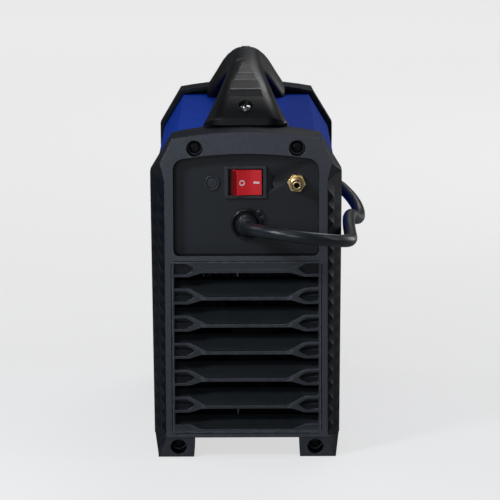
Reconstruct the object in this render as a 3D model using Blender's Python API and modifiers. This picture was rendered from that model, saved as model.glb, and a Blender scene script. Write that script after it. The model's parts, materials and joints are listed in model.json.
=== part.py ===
"""A compact inverter MIG welder that stands on its own moulded feet.

The control side faces -Y and the mains side faces +Y. The origin is the middle of the machine on the
surface it stands on. Sizes in this file are millimetres; make_object() turns them into metres.
"""

import math

import bmesh
import bpy
from mathutils import Matrix, Vector

MM = 0.001
GAP = 0.3

# End frames: an octagonal outline, seen along Y as (x, z), with a shallow crown on top.
FACE_Y = 165.0
WIDEST_Y = 145.0
SKIRT_Y = 127.0
HALF_WIDTH = 72.0
HALF_WIDTH_BOTTOM = 70.3
HALF_WIDTH_TOP = 55.8
UNDERSIDE_Z = 16.0
CHAMFER_Z = 217.0
TOP_CORNER_Z = 244.0
CROWN = 6.0
WALL = 3.0
FACE_HALF_WIDTH = 61.0
DIAMOND_PITCH = 10.3
DIAMOND_ROWS = 18
DIAMOND_BOTTOM_Z = 19.6
DIAMOND_HEIGHT = 1.6

# Recessed panel window and louvre window in the rear face.
PANEL_HALF = 54.3
PANEL_BOTTOM_Z = 155.4
PANEL_SIDE_Z = 228.6
PANEL_CROWN = 3.7
PANEL_FRONT_Y = 154.0
PANEL_BACK_Y = 150.8
GRILLE_HALF = 56.1
GRILLE_Z = (19.3, 151.0)
ROW_PITCH = 20.8
FIRST_BAR_Z = 143.7
ROWS = 6
FRONT_PANEL_BOTTOM_Z = 24.0

# Fasteners in the frames.
TOP_SCREW = (38.2, 236.6)
FOOT_SCREW = (51.8, 8.4)
BORE_RADIUS = 6.0

# Sheet-metal body.
BODY_HALF = 68.2
BODY_TOP_HALF = 52.5
BODY_TOP_Z = 241.0
BODY_SHOULDER_Z = 215.0
BODY_BOTTOM_Z = 18.9
SHEET = 1.5
BODY_END_Y = 133.0
DOOR_Y = (-116.6, 122.6)
DOOR_Z = (26.4, 208.6)
HINGE_AXIS = (70.1, -117.8)
HINGE_LEVELS = (66.0, 168.0)
LATCH = (112.0, 118.0)
VENT_ROWS = (50.0, 84.0)
VENT_HEIGHT = 26.0
VENT_WIDTH = 3.2
VENT_PITCH = 8.0
VENTS = 9
FIRST_VENT_Y = -112.0

# Handle: two ellipses in the YZ plane, outer and inner, and a width that grows towards the legs.
HANDLE_OUTER = (150.0, 236.0, 56.6)
HANDLE_INNER = (112.0, 225.0, 48.0)
HANDLE_END_ANGLE = 69.5
HANDLE_SCREW_Y = 129.6
GRIP_HALF = 12.2
LEG_HALF = 32.6

# Rear fittings, as (x, z) on the panel.
SWITCH = (0.3, 209.7)
ROCKER_PIVOT_Y = 152.5
ROCKER_TILT = 10.0
INLET = (-37.8, 209.3)
BLANK = (25.1, 209.3)
GLAND = (-0.5, 178.0)

# Fan behind the louvres.
FAN = (-4.0, 85.0)
FAN_HALF = 46.0

# Wire side: the feed line runs along Y at this x and z.
FEED = (33.0, 115.0)
SPOOL = (35.0, 165.0)
ROLL = (-70.0, 100.0)
ROLL_RADIUS = 15.0
PRESSURE_RADIUS = 11.0
ARM_PIVOT = (-104.0, 134.0)
TENSION_Y = -44.0

# Front fittings, as (x, z) on the panel.
DISPLAY = (0.0, 206.0)
BUTTONS = {"mode_button": -30.0, "wire_inch_button": 30.0}
BUTTON_Z = 181.0
KNOBS = {"voltage_knob": (-30.0, 156.0), "wire_speed_knob": (30.0, 156.0)}
SOCKETS = {"positive_socket": (-28.0, 62.0), "negative_socket": (24.0, 62.0)}

# Mains cord: diameter, the points of its free run from the gland, and its coil on the floor.
CORD_DIAMETER = 9.5
CORD_ROUTE = [
    (-0.5, 166.6, 178.0), (-0.4, 175.0, 178.6), (-3.2, 188.9, 179.8), (-11.6, 201.4, 180.2),
    (-24.2, 209.8, 179.4), (-39.0, 212.8, 177.8), (-53.8, 209.8, 175.6), (-66.4, 201.4, 173.0),
    (-74.8, 188.9, 170.8), (-77.9, 173.5, 169.4), (-78.4, 156.0, 168.8), (-78.2, 138.0, 169.8),
    (-78.2, 118.0, 171.8), (-79.0, 98.0, 173.2), (-81.6, 78.0, 172.0), (-86.0, 58.0, 166.0),
    (-89.0, 38.0, 164.4), (-88.6, 18.0, 167.6), (-85.4, -2.0, 171.2), (-80.8, -21.0, 174.4),
    (-76.2, -39.0, 176.2), (-73.8, -57.0, 173.6), (-73.4, -73.0, 163.0), (-73.4, -83.5, 146.0),
    (-73.4, -87.6, 125.0), (-73.4, -88.0, 92.0), (-73.4, -88.6, 60.0), (-73.4, -92.6, 38.0),
    (-73.4, -104.0, 19.5), (-73.8, -121.0, 8.4), (-73.9, -145.0, 5.2), (-72.8, -185.0, 4.9),
    (-67.4, -221.0, 4.9),
]
COIL_CENTRE = (0.0, -245.0)
COIL_RADII = (37.4, 66.0)
COIL_HEIGHT = 19.4
TAIL_ROUTE = [
    (-61.0, -283.0, 12.0), (-61.0, -296.0, 7.6), (-58.6, -309.8, 5.3), (-49.7, -323.7, 4.9),
    (-37.2, -332.1, 4.9), (-23.0, -335.0, 5.2), (-13.0, -335.0, 6.2),
]
PLUG_START = (-11.4, -335.0, 6.6)
PLUG_TILT = 17.8

SIDES = (-1.0, 1.0)


def clear_scene():
    for obj in list(bpy.data.objects):
        bpy.data.objects.remove(obj, do_unlink=True)


def collection(name):
    made = bpy.data.collections.new(name)
    bpy.context.scene.collection.children.link(made)
    return made


def principled(name, colour, roughness, metallic=0.0):
    material = bpy.data.materials.new(name)
    material.use_nodes = True
    shader = material.node_tree.nodes["Principled BSDF"]
    shader.inputs["Base Color"].default_value = (*colour, 1.0)
    shader.inputs["Roughness"].default_value = roughness
    shader.inputs["Metallic"].default_value = metallic
    material.diffuse_color = (*colour, 1.0)
    return material


# ---------------------------------------------------------------- outlines and paths

def mirrored(points):
    """The right half of an outline, bottom to top, with its mirror image after it."""
    return points + [(-x, z) for x, z in reversed(points) if x > 1e-6]


def arc_points(centre, radius, start, end, steps):
    angles = [math.radians(start + (end - start) * i / steps) for i in range(steps + 1)]
    return [(centre[0] + radius * math.cos(a), centre[1] + radius * math.sin(a)) for a in angles]


def crowned(half, height, rise, steps=5):
    """Points along a shallow parabola, from x = half to the middle."""
    return [(half * (1 - i / steps), height + rise * (1 - (1 - i / steps) ** 2)) for i in range(1, steps + 1)]


def outer_outline(inset=0.0):
    corner = 0.5 * inset
    top = [(HALF_WIDTH_TOP - corner, TOP_CORNER_Z - inset)]
    return mirrored([
        (HALF_WIDTH_BOTTOM - inset, UNDERSIDE_Z + inset),
        (HALF_WIDTH - inset, 205.0),
        (HALF_WIDTH - inset, CHAMFER_Z - corner),
    ] + top + crowned(HALF_WIDTH_TOP - corner, TOP_CORNER_Z - inset, CROWN))


def face_outline(inset=0.0):
    corner = 0.5 * inset
    return mirrored([
        (FACE_HALF_WIDTH - inset, UNDERSIDE_Z + inset),
        (FACE_HALF_WIDTH - inset, 212.0),
        (64.3 - inset, 225.5 - corner),
        (55.3 - corner, 243.8 - inset),
    ] + crowned(55.3 - corner, 243.8 - inset, CROWN - 0.9))


def skirt_outline():
    """The inside of the skirt, a gap clear of the sheet-metal body."""
    half = BODY_HALF + GAP
    return mirrored([
        (half, UNDERSIDE_Z + 2.3),
        (half, 205.0),
        (half, BODY_SHOULDER_Z + GAP),
        (BODY_TOP_HALF + GAP, BODY_TOP_Z + 0.5),
    ] + crowned(BODY_TOP_HALF + GAP, BODY_TOP_Z + 0.5, CROWN - 0.5))


def window_outline(half, bottom, side_top, rise, top_radius, bottom_radius, grow=0.0):
    """A window with rounded corners and a crowned top, grown outwards by grow."""
    half, bottom, side_top = half + grow, bottom - grow, side_top + grow
    low = arc_points((half - bottom_radius, bottom + bottom_radius), bottom_radius, -90, 0, 4)
    high = arc_points((half - top_radius, side_top - top_radius), top_radius, 0, 84, 5)
    last_x, last_z = high[-1]
    return mirrored(low + high + crowned(last_x, last_z, side_top + rise - last_z, 4))


def rear_window(grow=0.0):
    return window_outline(PANEL_HALF, PANEL_BOTTOM_Z, PANEL_SIDE_Z, PANEL_CROWN, 8.0, 4.0, grow)


def front_window(grow=0.0):
    return window_outline(PANEL_HALF, FRONT_PANEL_BOTTOM_Z, PANEL_SIDE_Z, PANEL_CROWN, 8.0, 4.0, grow)


def rounded_rectangle(half, low, high, radius, grow=0.0):
    half, low, high = half + grow, low - grow, high + grow
    return mirrored(
        arc_points((half - radius, low + radius), radius, -90, 0, 3)
        + arc_points((half - radius, high - radius), radius, 0, 90, 3)
    )


def smooth_path(points, spacing):
    """Points at an even spacing along a Catmull-Rom curve through the given points."""
    knots = [Vector(p) for p in points]
    knots = [2 * knots[0] - knots[1]] + knots + [2 * knots[-1] - knots[-2]]
    fine = []
    for before, here, there, after in zip(knots, knots[1:], knots[2:], knots[3:]):
        for step in range(20):
            t = step / 20
            fine.append(0.5 * (
                2 * here + (there - before) * t
                + (2 * before - 5 * here + 4 * there - after) * t ** 2
                + (3 * here - before - 3 * there + after) * t ** 3
            ))
    fine.append(knots[-2])
    lengths = [0.0]
    for a, b in zip(fine, fine[1:]):
        lengths.append(lengths[-1] + (b - a).length)
    count = max(2, round(lengths[-1] / spacing))
    even, index = [], 0
    for step in range(count + 1):
        wanted = lengths[-1] * step / count
        while index < len(fine) - 2 and lengths[index + 1] < wanted:
            index += 1
        share = (wanted - lengths[index]) / max(lengths[index + 1] - lengths[index], 1e-9)
        even.append(fine[index].lerp(fine[index + 1], min(max(share, 0.0), 1.0)))
    return even


# ---------------------------------------------------------------- solids

def make_object(name, bm, material=None, home=None):
    bmesh.ops.recalc_face_normals(bm, faces=bm.faces)
    bmesh.ops.scale(bm, vec=(MM, MM, MM), verts=bm.verts)
    mesh = bpy.data.meshes.new(name)
    bm.to_mesh(mesh)
    bm.free()
    obj = bpy.data.objects.new(name, mesh)
    (home or PARTS).objects.link(obj)
    if material:
        mesh.materials.append(material)
    else:
        obj.hide_render = True
        obj.display_type = "WIRE"
    return obj


def box(low, high):
    low, high = Vector(low), Vector(high)
    bm = bmesh.new()
    matrix = Matrix.Translation((low + high) / 2) @ Matrix.Diagonal((*(high - low), 1.0))
    bmesh.ops.create_cube(bm, size=1.0, matrix=matrix)
    return bm


def cylinder(start, end, radius, end_radius=None, segments=24):
    start, end = Vector(start), Vector(end)
    bm = bmesh.new()
    turn = Vector((0, 0, 1)).rotation_difference(end - start).to_matrix().to_4x4()
    bmesh.ops.create_cone(
        bm, cap_ends=True, segments=segments, radius1=radius,
        radius2=radius if end_radius is None else end_radius, depth=(end - start).length,
        matrix=Matrix.Translation((start + end) / 2) @ turn,
    )
    return bm


def loft(loops):
    """A closed solid through loops that all have the same number of points."""
    bm = bmesh.new()
    rings = [[bm.verts.new(p) for p in loop] for loop in loops]
    for low, high in zip(rings, rings[1:]):
        for i in range(len(low)):
            j = (i + 1) % len(low)
            bm.faces.new((low[i], low[j], high[j], high[i]))
    bm.faces.new(rings[0][::-1])
    bm.faces.new(rings[-1])
    return bm


def prism(outline, start, end, axis="Y"):
    """An outline extruded along an axis; its two numbers are the other two axes in XYZ order."""
    place = {
        "X": lambda a, b, c: (c, a, b),
        "Y": lambda a, b, c: (a, c, b),
        "Z": lambda a, b, c: (a, b, c),
    }[axis]
    return loft([[place(a, b, start) for a, b in outline], [place(a, b, end) for a, b in outline]])


def turned(name, profile, at, axis, material=None, steps=24):
    """A profile of (radius, distance along the axis) points, turned with a Screw modifier.

    The profile runs down its outer side, from the far end to the near end. One that starts and ends
    on the axis is solid, and any other is closed into a ring.
    """
    bm = bmesh.new()
    points = [bm.verts.new((r, 0.0, h)) for r, h in profile]
    for a, b in zip(points, points[1:]):
        bm.edges.new((a, b))
    if profile[0][0] > 0:
        bm.edges.new((points[-1], points[0]))
    obj = make_object(name, bm, material, None if material else CUTTERS)
    screw = obj.modifiers.new("Screw", "SCREW")
    screw.steps = screw.render_steps = steps
    screw.use_merge_vertices = True
    screw.merge_threshold = 1e-6
    turn = Vector((0, 0, 1)).rotation_difference(Vector(axis)).to_matrix().to_4x4()
    obj.matrix_world = Matrix.Translation(Vector(at) * MM) @ turn
    return obj


def tube(name, points, radius, material, sides=2):
    curve = bpy.data.curves.new(name, "CURVE")
    curve.dimensions = "3D"
    curve.bevel_depth = radius * MM
    curve.bevel_resolution = sides
    curve.use_fill_caps = True
    spline = curve.splines.new("POLY")
    spline.points.add(len(points) - 1)
    for point, place in zip(spline.points, points):
        point.co = (*(Vector(place) * MM), 1.0)
    curve.materials.append(material)
    obj = bpy.data.objects.new(name, curve)
    PARTS.objects.link(obj)
    return obj


def helper(name, bm):
    return make_object(name, bm, None, CUTTERS)


def combine(target, operation, tool):
    if not isinstance(tool, bpy.types.Object):
        tool = helper(f"{target.name}_{operation.lower()}_{len(target.modifiers)}", tool)
    modifier = target.modifiers.new(tool.name, "BOOLEAN")
    modifier.operation = operation
    modifier.solver = "EXACT"
    modifier.object = tool


def cut(target, *tools):
    for tool in tools:
        combine(target, "DIFFERENCE", tool)


def join(target, *tools):
    for tool in tools:
        combine(target, "UNION", tool)


def set_pivot(obj, point):
    """Moves a mesh object's origin to its joint's axis and leaves its shape where it is."""
    offset = Vector(point) * MM
    obj.data.transform(Matrix.Translation(-offset))
    obj.location = offset


def screw(name, head, direction, head_radius=4.4, head_height=2.8, shank=16.0):
    """A pan-head screw: head is the centre of the head's top, direction is where the head looks."""
    head, direction = Vector(head), Vector(direction)
    profile = [
        (0.0, 0.0), (head_radius * 0.75, -0.1), (head_radius, -0.9), (head_radius, -head_height),
        (2.0, -head_height), (2.0, -head_height - shank), (0.0, -head_height - shank),
    ]
    return turned(name, profile, head, direction, STEEL, 14)


# ---------------------------------------------------------------- end frames

def frame_shell(name, side):
    """The outer solid of an end frame, with raised diamonds on its side bevels."""
    widest, face = outer_outline(), face_outline()
    stations = [(SKIRT_Y, widest), (WIDEST_Y, widest), (FACE_Y, face)]
    bm = loft([[(x, side * y, z) for x, z in loop] for y, loop in stations])
    bm.normal_update()

    def on_bevel(face_):
        centre = face_.calc_center_median()
        return abs(centre.x) > FACE_HALF_WIDTH and abs(centre.y) > WIDEST_Y and centre.z < 208

    cuts = [((0, side * 155.0, 0), (0, 1, 0))]
    cuts += [((0, 0, DIAMOND_BOTTOM_Z + DIAMOND_PITCH * i), (0, 0, 1)) for i in range(DIAMOND_ROWS + 1)]
    for place, normal in cuts:
        faces = [f for f in bm.faces if on_bevel(f)]
        geometry = faces + list({e for f in faces for e in f.edges} | {v for f in faces for v in f.verts})
        bmesh.ops.bisect_plane(bm, geom=geometry, plane_co=place, plane_no=normal)
    bmesh.ops.recalc_face_normals(bm, faces=bm.faces)
    top = DIAMOND_BOTTOM_Z + DIAMOND_PITCH * DIAMOND_ROWS
    cells = [
        f for f in bm.faces
        if on_bevel(f) and len(f.verts) == 4 and DIAMOND_BOTTOM_Z < f.calc_center_median().z < top
    ]
    bmesh.ops.poke(bm, faces=cells, offset=DIAMOND_HEIGHT, center_mode="MEAN")
    return make_object(name, bm, BLACK_PLASTIC)


def frame_cavity(side):
    inner = face_outline(WALL)
    stations = [(SKIRT_Y - 1, skirt_outline()), (WIDEST_Y, skirt_outline()), (FACE_Y - WALL, inner)]
    return loft([[(x, side * y, z) for x, z in loop] for y, loop in stations])


def foot(side, hand):
    top = [(39.5, 127.2), (70.1, 127.2), (70.1, 144.9), (60.9, 164.8), (39.5, 164.8)]
    bottom = [(40.1, 127.2), (67.6, 127.2), (67.6, 150.0), (67.3, 160.0), (40.1, 160.0)]
    return loft([
        [(hand * x, side * y, 0.0) for x, y in bottom],
        [(hand * x, side * y, UNDERSIDE_Z + 1.2) for x, y in top],
    ])


def end_frame(name, side, window):
    """One moulded end frame with its feet, screw bores and the walled window for its panel."""
    frame = frame_shell(name, side)
    cut(frame, helper(name + "_cavity", frame_cavity(side)))
    join(frame, prism(window(2.5), side * (PANEL_FRONT_Y + GAP), side * (FACE_Y - 1.5)))
    for hand in SIDES:
        boss = (hand * TOP_SCREW[0], TOP_SCREW[1] - 0.3)
        join(frame, cylinder((boss[0], side * 154.3, boss[1]), (boss[0], side * 163.5, boss[1]), 7.2))
        join(frame, foot(side, hand))
    cut(frame, prism(window(), side * 150.0, side * (FACE_Y + 3)))
    for hand in SIDES:
        for (x, z), depth in ((TOP_SCREW, 156.2), (FOOT_SCREW, 146.0)):
            bore = (hand * x, side * depth, z), (hand * x, side * (FACE_Y + 5), z)
            cut(frame, cylinder(*bore, BORE_RADIUS))
            shank = (hand * x, side * (depth - 30), z), (hand * x, side * (depth + 1), z)
            cut(frame, cylinder(*shank, 2.4, segments=12))
    return frame


def frame_screws(label, side):
    for hand, hand_name in zip(SIDES, ("left", "right")):
        for level, (x, z), depth in (("upper", TOP_SCREW, 159.4), ("lower", FOOT_SCREW, 149.2)):
            name = f"{label}_screw_{level}_{hand_name}"
            screw(name, (hand * x, side * depth, z), (0, side, 0))


def rear_frame():
    frame = end_frame("rear_frame", 1.0, rear_window)
    cut(frame, prism(rounded_rectangle(GRILLE_HALF, *GRILLE_Z, 3.0, GAP), 155.0, FACE_Y + 3))


def front_frame():
    end_frame("front_frame", -1.0, front_window)


# ---------------------------------------------------------------- rear fittings

def louvre_gap(bar_z):
    """The opening between one bar and the next: forks narrow it at both ends."""
    below = bar_z - ROW_PITCH
    inner, outer = (30.0, below + 1.4), (43.2, below + 7.9)
    if below < GRILLE_Z[0]:
        inner, outer = (34.8, 22.6), (43.7, 26.2)
    right = [
        inner, outer, (54.0, outer[1]), (54.0, bar_z - 4.4), (43.7, bar_z - 4.4), (33.5, bar_z - 1.4),
    ]
    return right + [(-x, z) for x, z in reversed(right)]


def fork_pocket(bar_z, hand):
    """The bullet-shaped pocket in a fork, pointing at the middle of the bar."""
    low, high = bar_z - 2.2, bar_z + 5.6
    middle = (low + high) / 2
    points = [(54.0, low), (54.0, high), (45.6, high), (41.4, middle + 1.8), (39.4, middle),
              (41.4, middle - 1.8), (45.6, low)]
    return [(hand * x, z) for x, z in points]


def louvre_blade(bar_z):
    """A slat that slopes out from deep behind the gap to the top of the bar below, its ends turned out."""
    top_z = bar_z - 8.4
    low_z = max(bar_z - ROW_PITCH + 1.0, GRILLE_Z[0] + 1.7)
    deep = [(-55.2, 157.0), (-36.0, 153.2), (36.0, 153.2), (55.2, 157.0)]
    near = [(-55.2, 163.4), (-36.0, 162.2), (36.0, 162.2), (55.2, 163.4)]
    back = [[(x, y - 1.6, top_z), (x, y, top_z), (x, v, low_z), (x, v - 1.6, low_z)]
            for (x, y), (_, v) in zip(deep, near)]
    return loft(back)


def rear_grille():
    outline = rounded_rectangle(GRILLE_HALF, *GRILLE_Z, 3.0)
    grille = make_object("rear_grille", prism(outline, 151.0, 165.4), BLACK_PLASTIC)
    join(grille, prism(rounded_rectangle(57.4, GRILLE_Z[0] + 0.3, GRILLE_Z[1] + 1.0, 3.0), 159.6, 161.6))
    cut(grille, box((-54.0, 150.0, 21.4), (54.0, 161.0, 149.0)))
    for row in range(ROWS):
        cut(grille, prism(louvre_gap(FIRST_BAR_Z - ROW_PITCH * row), 158.0, 168.0))
        for hand in SIDES:
            pocket = fork_pocket(FIRST_BAR_Z - ROW_PITCH * row, hand)
            cut(grille, prism(pocket, 158.0, 168.0))
    for row in range(ROWS):
        join(grille, louvre_blade(FIRST_BAR_Z - ROW_PITCH * row))


def panel_plate(name, side, window):
    return make_object(name, prism(window(2.2), side * PANEL_BACK_Y, side * PANEL_FRONT_Y), BLACK_PLASTIC)


def rear_panel():
    panel = panel_plate("rear_panel", 1.0, rear_window)
    x, z = SWITCH
    cut(panel, box((x - 14.1, 150.0, z - 10.9), (x + 14.1, 155.0, z + 10.9)))
    for (x, z), radius in ((INLET, 4.9), (BLANK, 4.9), (GLAND, 9.8)):
        cut(panel, cylinder((x, 150.0, z), (x, 155.0, z), radius))
    cut(panel, box((-21.6, 153.3, 204.9), (-19.2, 155.0, 214.5)))


def switch_housing():
    x, z = SWITCH
    outer = [(x + a, z + b) for a, b in rounded_rectangle(15.9, -12.3, 12.3, 1.2)]
    housing = make_object("switch_housing", prism(outer, 154.3, 156.6), SWITCH_PLASTIC)
    join(housing, box((x - 13.8, 136.0, z - 10.6), (x + 13.8, 155.0, z + 10.6)))
    cut(housing, box((x - 12.7, 145.0, z - 9.9), (x + 12.7, 158.0, z + 9.9)))


def power_rocker():
    """The rocker at rest is pressed on its on side, -X."""
    x, z = SWITCH
    half = [(10.2, 6.6), (12.2, 1.0), (8.0, -4.6)]
    outline = [(0.0, 5.4)] + [(-a, b) for a, b in half] + half[::-1]
    tilt = Matrix.Rotation(math.radians(ROCKER_TILT), 2)
    outline = [tilt @ Vector(p) + Vector((x, ROCKER_PIVOT_Y)) for p in outline]
    rocker = make_object("power_rocker", prism(outline, z - 9.5, z + 9.5, "Z"), RED_PLASTIC)
    set_pivot(rocker, (x, ROCKER_PIVOT_Y, z))


def gas_inlet():
    x, z = INLET
    hexagon = helper("gas_inlet_hexagon", cylinder((x, 154.3, z), (x, 158.8, z), 7.1, segments=6))
    profile = [
        (0.0, 9.0), (2.0, 9.0), (2.0, 17.0), (3.0, 17.0), (3.9, 16.0), (3.9, 13.0), (3.1, 12.4),
        (3.1, 10.0), (5.0, 8.8), (5.0, 3.0), (4.5, 3.0), (4.5, -8.0), (0.0, -8.0),
    ]
    inlet = turned("gas_inlet", profile, (x, 154.0, z), (0, 1, 0), BRASS)
    join(inlet, hexagon)


def blanking_plug():
    profile = [
        (0.0, 0.9), (4.0, 0.9), (4.2, 1.6), (5.4, 1.6), (5.8, 1.1), (5.8, 0.3), (4.5, 0.3), (4.5, -7.0),
        (0.0, -7.0),
    ]
    turned("blanking_plug", profile, (BLANK[0], 154.0, BLANK[1]), (0, 1, 0), SWITCH_PLASTIC)


def cable_gland():
    """A flanged strain relief with a tapered snout, 24 mm long in all."""
    profile = [
        (0.0, 12.0), (6.3, 12.0), (6.9, 11.4), (8.4, 4.2), (10.2, 3.4), (11.3, 4.2), (12.0, 3.6),
        (12.0, 0.3), (9.4, 0.3), (9.4, -12.0), (0.0, -12.0),
    ]
    gland = turned("cable_gland", profile, (GLAND[0], 154.0, GLAND[1]), (0, 1, 0), SWITCH_PLASTIC)
    tab = box((-3.4, 0.3, 9.8), (3.4, 3.3, 14.6))
    place = Matrix.Translation((GLAND[0], 154.0, GLAND[1])) @ Matrix.Rotation(math.radians(-55), 4, "Y")
    bmesh.ops.transform(tab, matrix=place, verts=tab.verts)
    join(gland, tab)


# ---------------------------------------------------------------- body

def body_section(shift=0.0):
    half, top = BODY_HALF - shift, BODY_TOP_HALF - 0.55 * shift
    return [(half, BODY_SHOULDER_Z - 0.3 * shift), (top, BODY_TOP_Z - shift)]


def body_cover():
    """The folded sheet: both sides, the shoulders and the top, with an opening for the door."""
    outer = [(BODY_HALF, BODY_BOTTOM_Z)] + body_section()
    inner = [(BODY_HALF - SHEET, BODY_BOTTOM_Z)] + body_section(SHEET)
    outline = outer + [(-x, z) for x, z in reversed(outer)] + inner_side(inner)
    cover = make_object("body_cover", prism(outline, -BODY_END_Y, BODY_END_Y), BLUE_PAINT)
    low = (BODY_HALF - 4, DOOR_Y[0] - 0.4, DOOR_Z[0] - 0.4)
    cut(cover, box(low, (BODY_HALF + 2, DOOR_Y[1] + 0.4, DOOR_Z[1] + 0.4)))
    for vent in range(VENTS):
        y = FIRST_VENT_Y + VENT_PITCH * vent
        for z in VENT_ROWS:
            cut(cover, box((-BODY_HALF - 2, y, z), (-BODY_HALF + 4, y + VENT_WIDTH, z + VENT_HEIGHT)))
    for z in HINGE_LEVELS:
        for offset in (-10.4, 10.4):
            join(cover, knuckle(z + offset, -1.0))
    for z in HINGE_LEVELS:
        cut(cover, cylinder((*HINGE_AXIS, z - 16), (*HINGE_AXIS, z + 16), 1.2, segments=12))


def inner_side(inner):
    return [(-x, z) for x, z in inner] + list(reversed(inner))


def knuckle(z, hand):
    """A hinge sleeve with a leaf that reaches back over its sheet, towards hand along Y."""
    x, y = HINGE_AXIS
    sleeve = [(x + a, y + b) for a, b in arc_points((0, 0), 1.8, 0, 330, 11)]
    ends = sorted((y + hand, y + 7 * hand))
    leaf = box((67.9, ends[0], z - 4.6), (69.3, ends[1], z + 4.6))
    solid = helper("hinge_sleeve", prism(sleeve, z - 4.8, z + 4.8, "Z"))
    join(solid, leaf)
    return solid


def side_door():
    door = make_object("side_door", box(
        (BODY_HALF - SHEET, DOOR_Y[0], DOOR_Z[0]), (BODY_HALF, DOOR_Y[1], DOOR_Z[1])), BLUE_PAINT)
    lip_low = (BODY_HALF - SHEET - 5, DOOR_Y[1] - 1.6, DOOR_Z[0] + 10)
    lip = box(lip_low, (BODY_HALF - 0.5, DOOR_Y[1], DOOR_Z[1] - 4))
    join(door, lip)
    for z in HINGE_LEVELS:
        join(door, knuckle(z, 1.0))
        cut(door, cylinder((*HINGE_AXIS, z - 6), (*HINGE_AXIS, z + 6), 1.2, segments=12))
    cut(door, cylinder((60, *LATCH), (72, *LATCH), 4.4))


def hinge_pins():
    for label, z in zip(("lower", "upper"), HINGE_LEVELS):
        pin = cylinder((*HINGE_AXIS, z - 15.4), (*HINGE_AXIS, z + 15.4), 0.9, segments=12)
        make_object(f"hinge_pin_{label}", pin, STEEL)


def door_latch():
    """A quarter-turn latch: knob outside, stud through the door, cam inside."""
    y, z = LATCH
    knob = [(0.0, 3.4), (7.6, 3.4), (8.6, 2.6), (8.6, 0.3), (4.0, 0.3), (4.0, -5.6), (0.0, -5.6)]
    latch = turned("door_latch", knob, (BODY_HALF, y, z), (1, 0, 0), BLACK_PLASTIC)
    join(latch, box((61.0, y - 4.6, z - 2.8), (63.4, y + 7.0, z + 2.8)))
    cut(latch, box((70.2, y - 9.0, z + 1.6), (72.5, y + 9.0, z + 9.0)))
    cut(latch, box((70.2, y - 9.0, z - 9.0), (72.5, y + 9.0, z - 1.6)))


def base_tray():
    half = BODY_HALF - SHEET - 0.5
    outline = mirrored([(half, 18.7), (half, 34.0), (half - 1.4, 34.0), (half - 1.4, 20.4)])
    make_object("base_tray", prism(outline, -BODY_END_Y, BODY_END_Y), STEEL_SHEET)


def partition():
    wall = make_object("partition", box((6.0, -120.0, 20.8), (7.5, 112.0, 239.0)), STEEL_SHEET)
    cut(wall, cylinder((0.0, *ROLL), (12.0, *ROLL), 18.6))


# ---------------------------------------------------------------- handle

def handle_width(angle):
    """Half the handle's width: slim at the grip and wide at the legs."""
    share = abs(angle) / HANDLE_END_ANGLE
    return GRIP_HALF + (LEG_HALF - GRIP_HALF) * share ** 1.8


def handle_point(ellipse, angle):
    reach, base, rise = ellipse
    radians = math.radians(angle)
    return Vector((0.0, reach * math.sin(radians), base + rise * math.cos(radians)))


def handle_section(outer, inner, half):
    """A rounded trapezoid between an outer and an inner point of the arch."""
    across = [
        (0.0, 0.0), (0.62, 0.0), (0.86, 0.12), (0.98, 0.34), (1.0, 0.72), (0.90, 0.92), (0.68, 1.0),
        (0.0, 1.0),
    ]
    loop = across + [(-a, b) for a, b in reversed(across[1:-1])]
    return [outer.lerp(inner, b) + Vector((a * half, 0, 0)) for a, b in loop]


def handle():
    angles = [HANDLE_END_ANGLE * i / 9 for i in range(-9, 10)]
    loops = [
        handle_section(handle_point(HANDLE_OUTER, a), handle_point(HANDLE_INNER, a), handle_width(a))
        for a in angles
    ]
    for end in (0, -1):
        side = -1.0 if end == 0 else 1.0
        base = handle_section(Vector((0, side * 141.4, 241.3)), Vector((0, side * 105.2, 241.3)), LEG_HALF)
        loops.insert(0 if end == 0 else len(loops), base)
    grip = make_object("handle", loft(loops), BLACK_PLASTIC)
    for side in SIDES:
        y = side * HANDLE_SCREW_Y
        cut(grip, box((-40, min(side * 126.7, side * 150), 238), (40, max(side * 126.7, side * 150), 250.4)))
        cut(grip, cylinder((0, y, 255.6), (0, y, 300), 5.2))
        cut(grip, cylinder((0, y, 240), (0, y, 256), 2.4, segments=12))


def handle_screws():
    for label, side in (("front", -1.0), ("rear", 1.0)):
        screw(f"handle_screw_{label}", (0, side * HANDLE_SCREW_Y, 264.5), (0, 0, 1), 3.8, 8.4, 4.6)


# ---------------------------------------------------------------- electronics side

def fan():
    x, z = FAN
    housing = make_object("fan_housing", box(
        (x - FAN_HALF, 118, z - FAN_HALF), (x + FAN_HALF, 143, z + FAN_HALF)), SWITCH_PLASTIC)
    cut(housing, cylinder((x, 117, z), (x, 144, z), 43.0, segments=40))
    join(housing, cylinder((x, 140.4, z), (x, 142.9, z), 18.6))
    for direction in ((1, 1), (-1, 1)):
        strut = box((-47.0, 140.6, -2.2), (47.0, 142.7, 2.2))
        turn = Matrix.Rotation(math.radians(45) * direction[0], 4, "Y")
        bmesh.ops.transform(strut, matrix=Matrix.Translation((x, 0, z)) @ turn, verts=strut.verts)
        join(housing, strut)
    rotor_outline = []
    for blade in range(7):
        base = 360 / 7 * blade
        for offset, radius in ((0, 18.0), (8, 18.0), (12, 41.4), (24, 41.4), (22, 18.0), (38, 18.0)):
            angle = math.radians(base + offset)
            rotor_outline.append((radius * math.cos(angle), radius * math.sin(angle)))
    loops = []
    for step in range(4):
        turn = Matrix.Rotation(math.radians(11 * step), 2)
        spun = [turn @ Vector(p) for p in rotor_outline]
        loops.append([(x + p.x, 123.0 + 5.4 * step, z + p.y) for p in spun])
    rotor = make_object("fan_rotor", loft(loops), SWITCH_PLASTIC)
    set_pivot(rotor, (x, 130.0, z))


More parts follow.
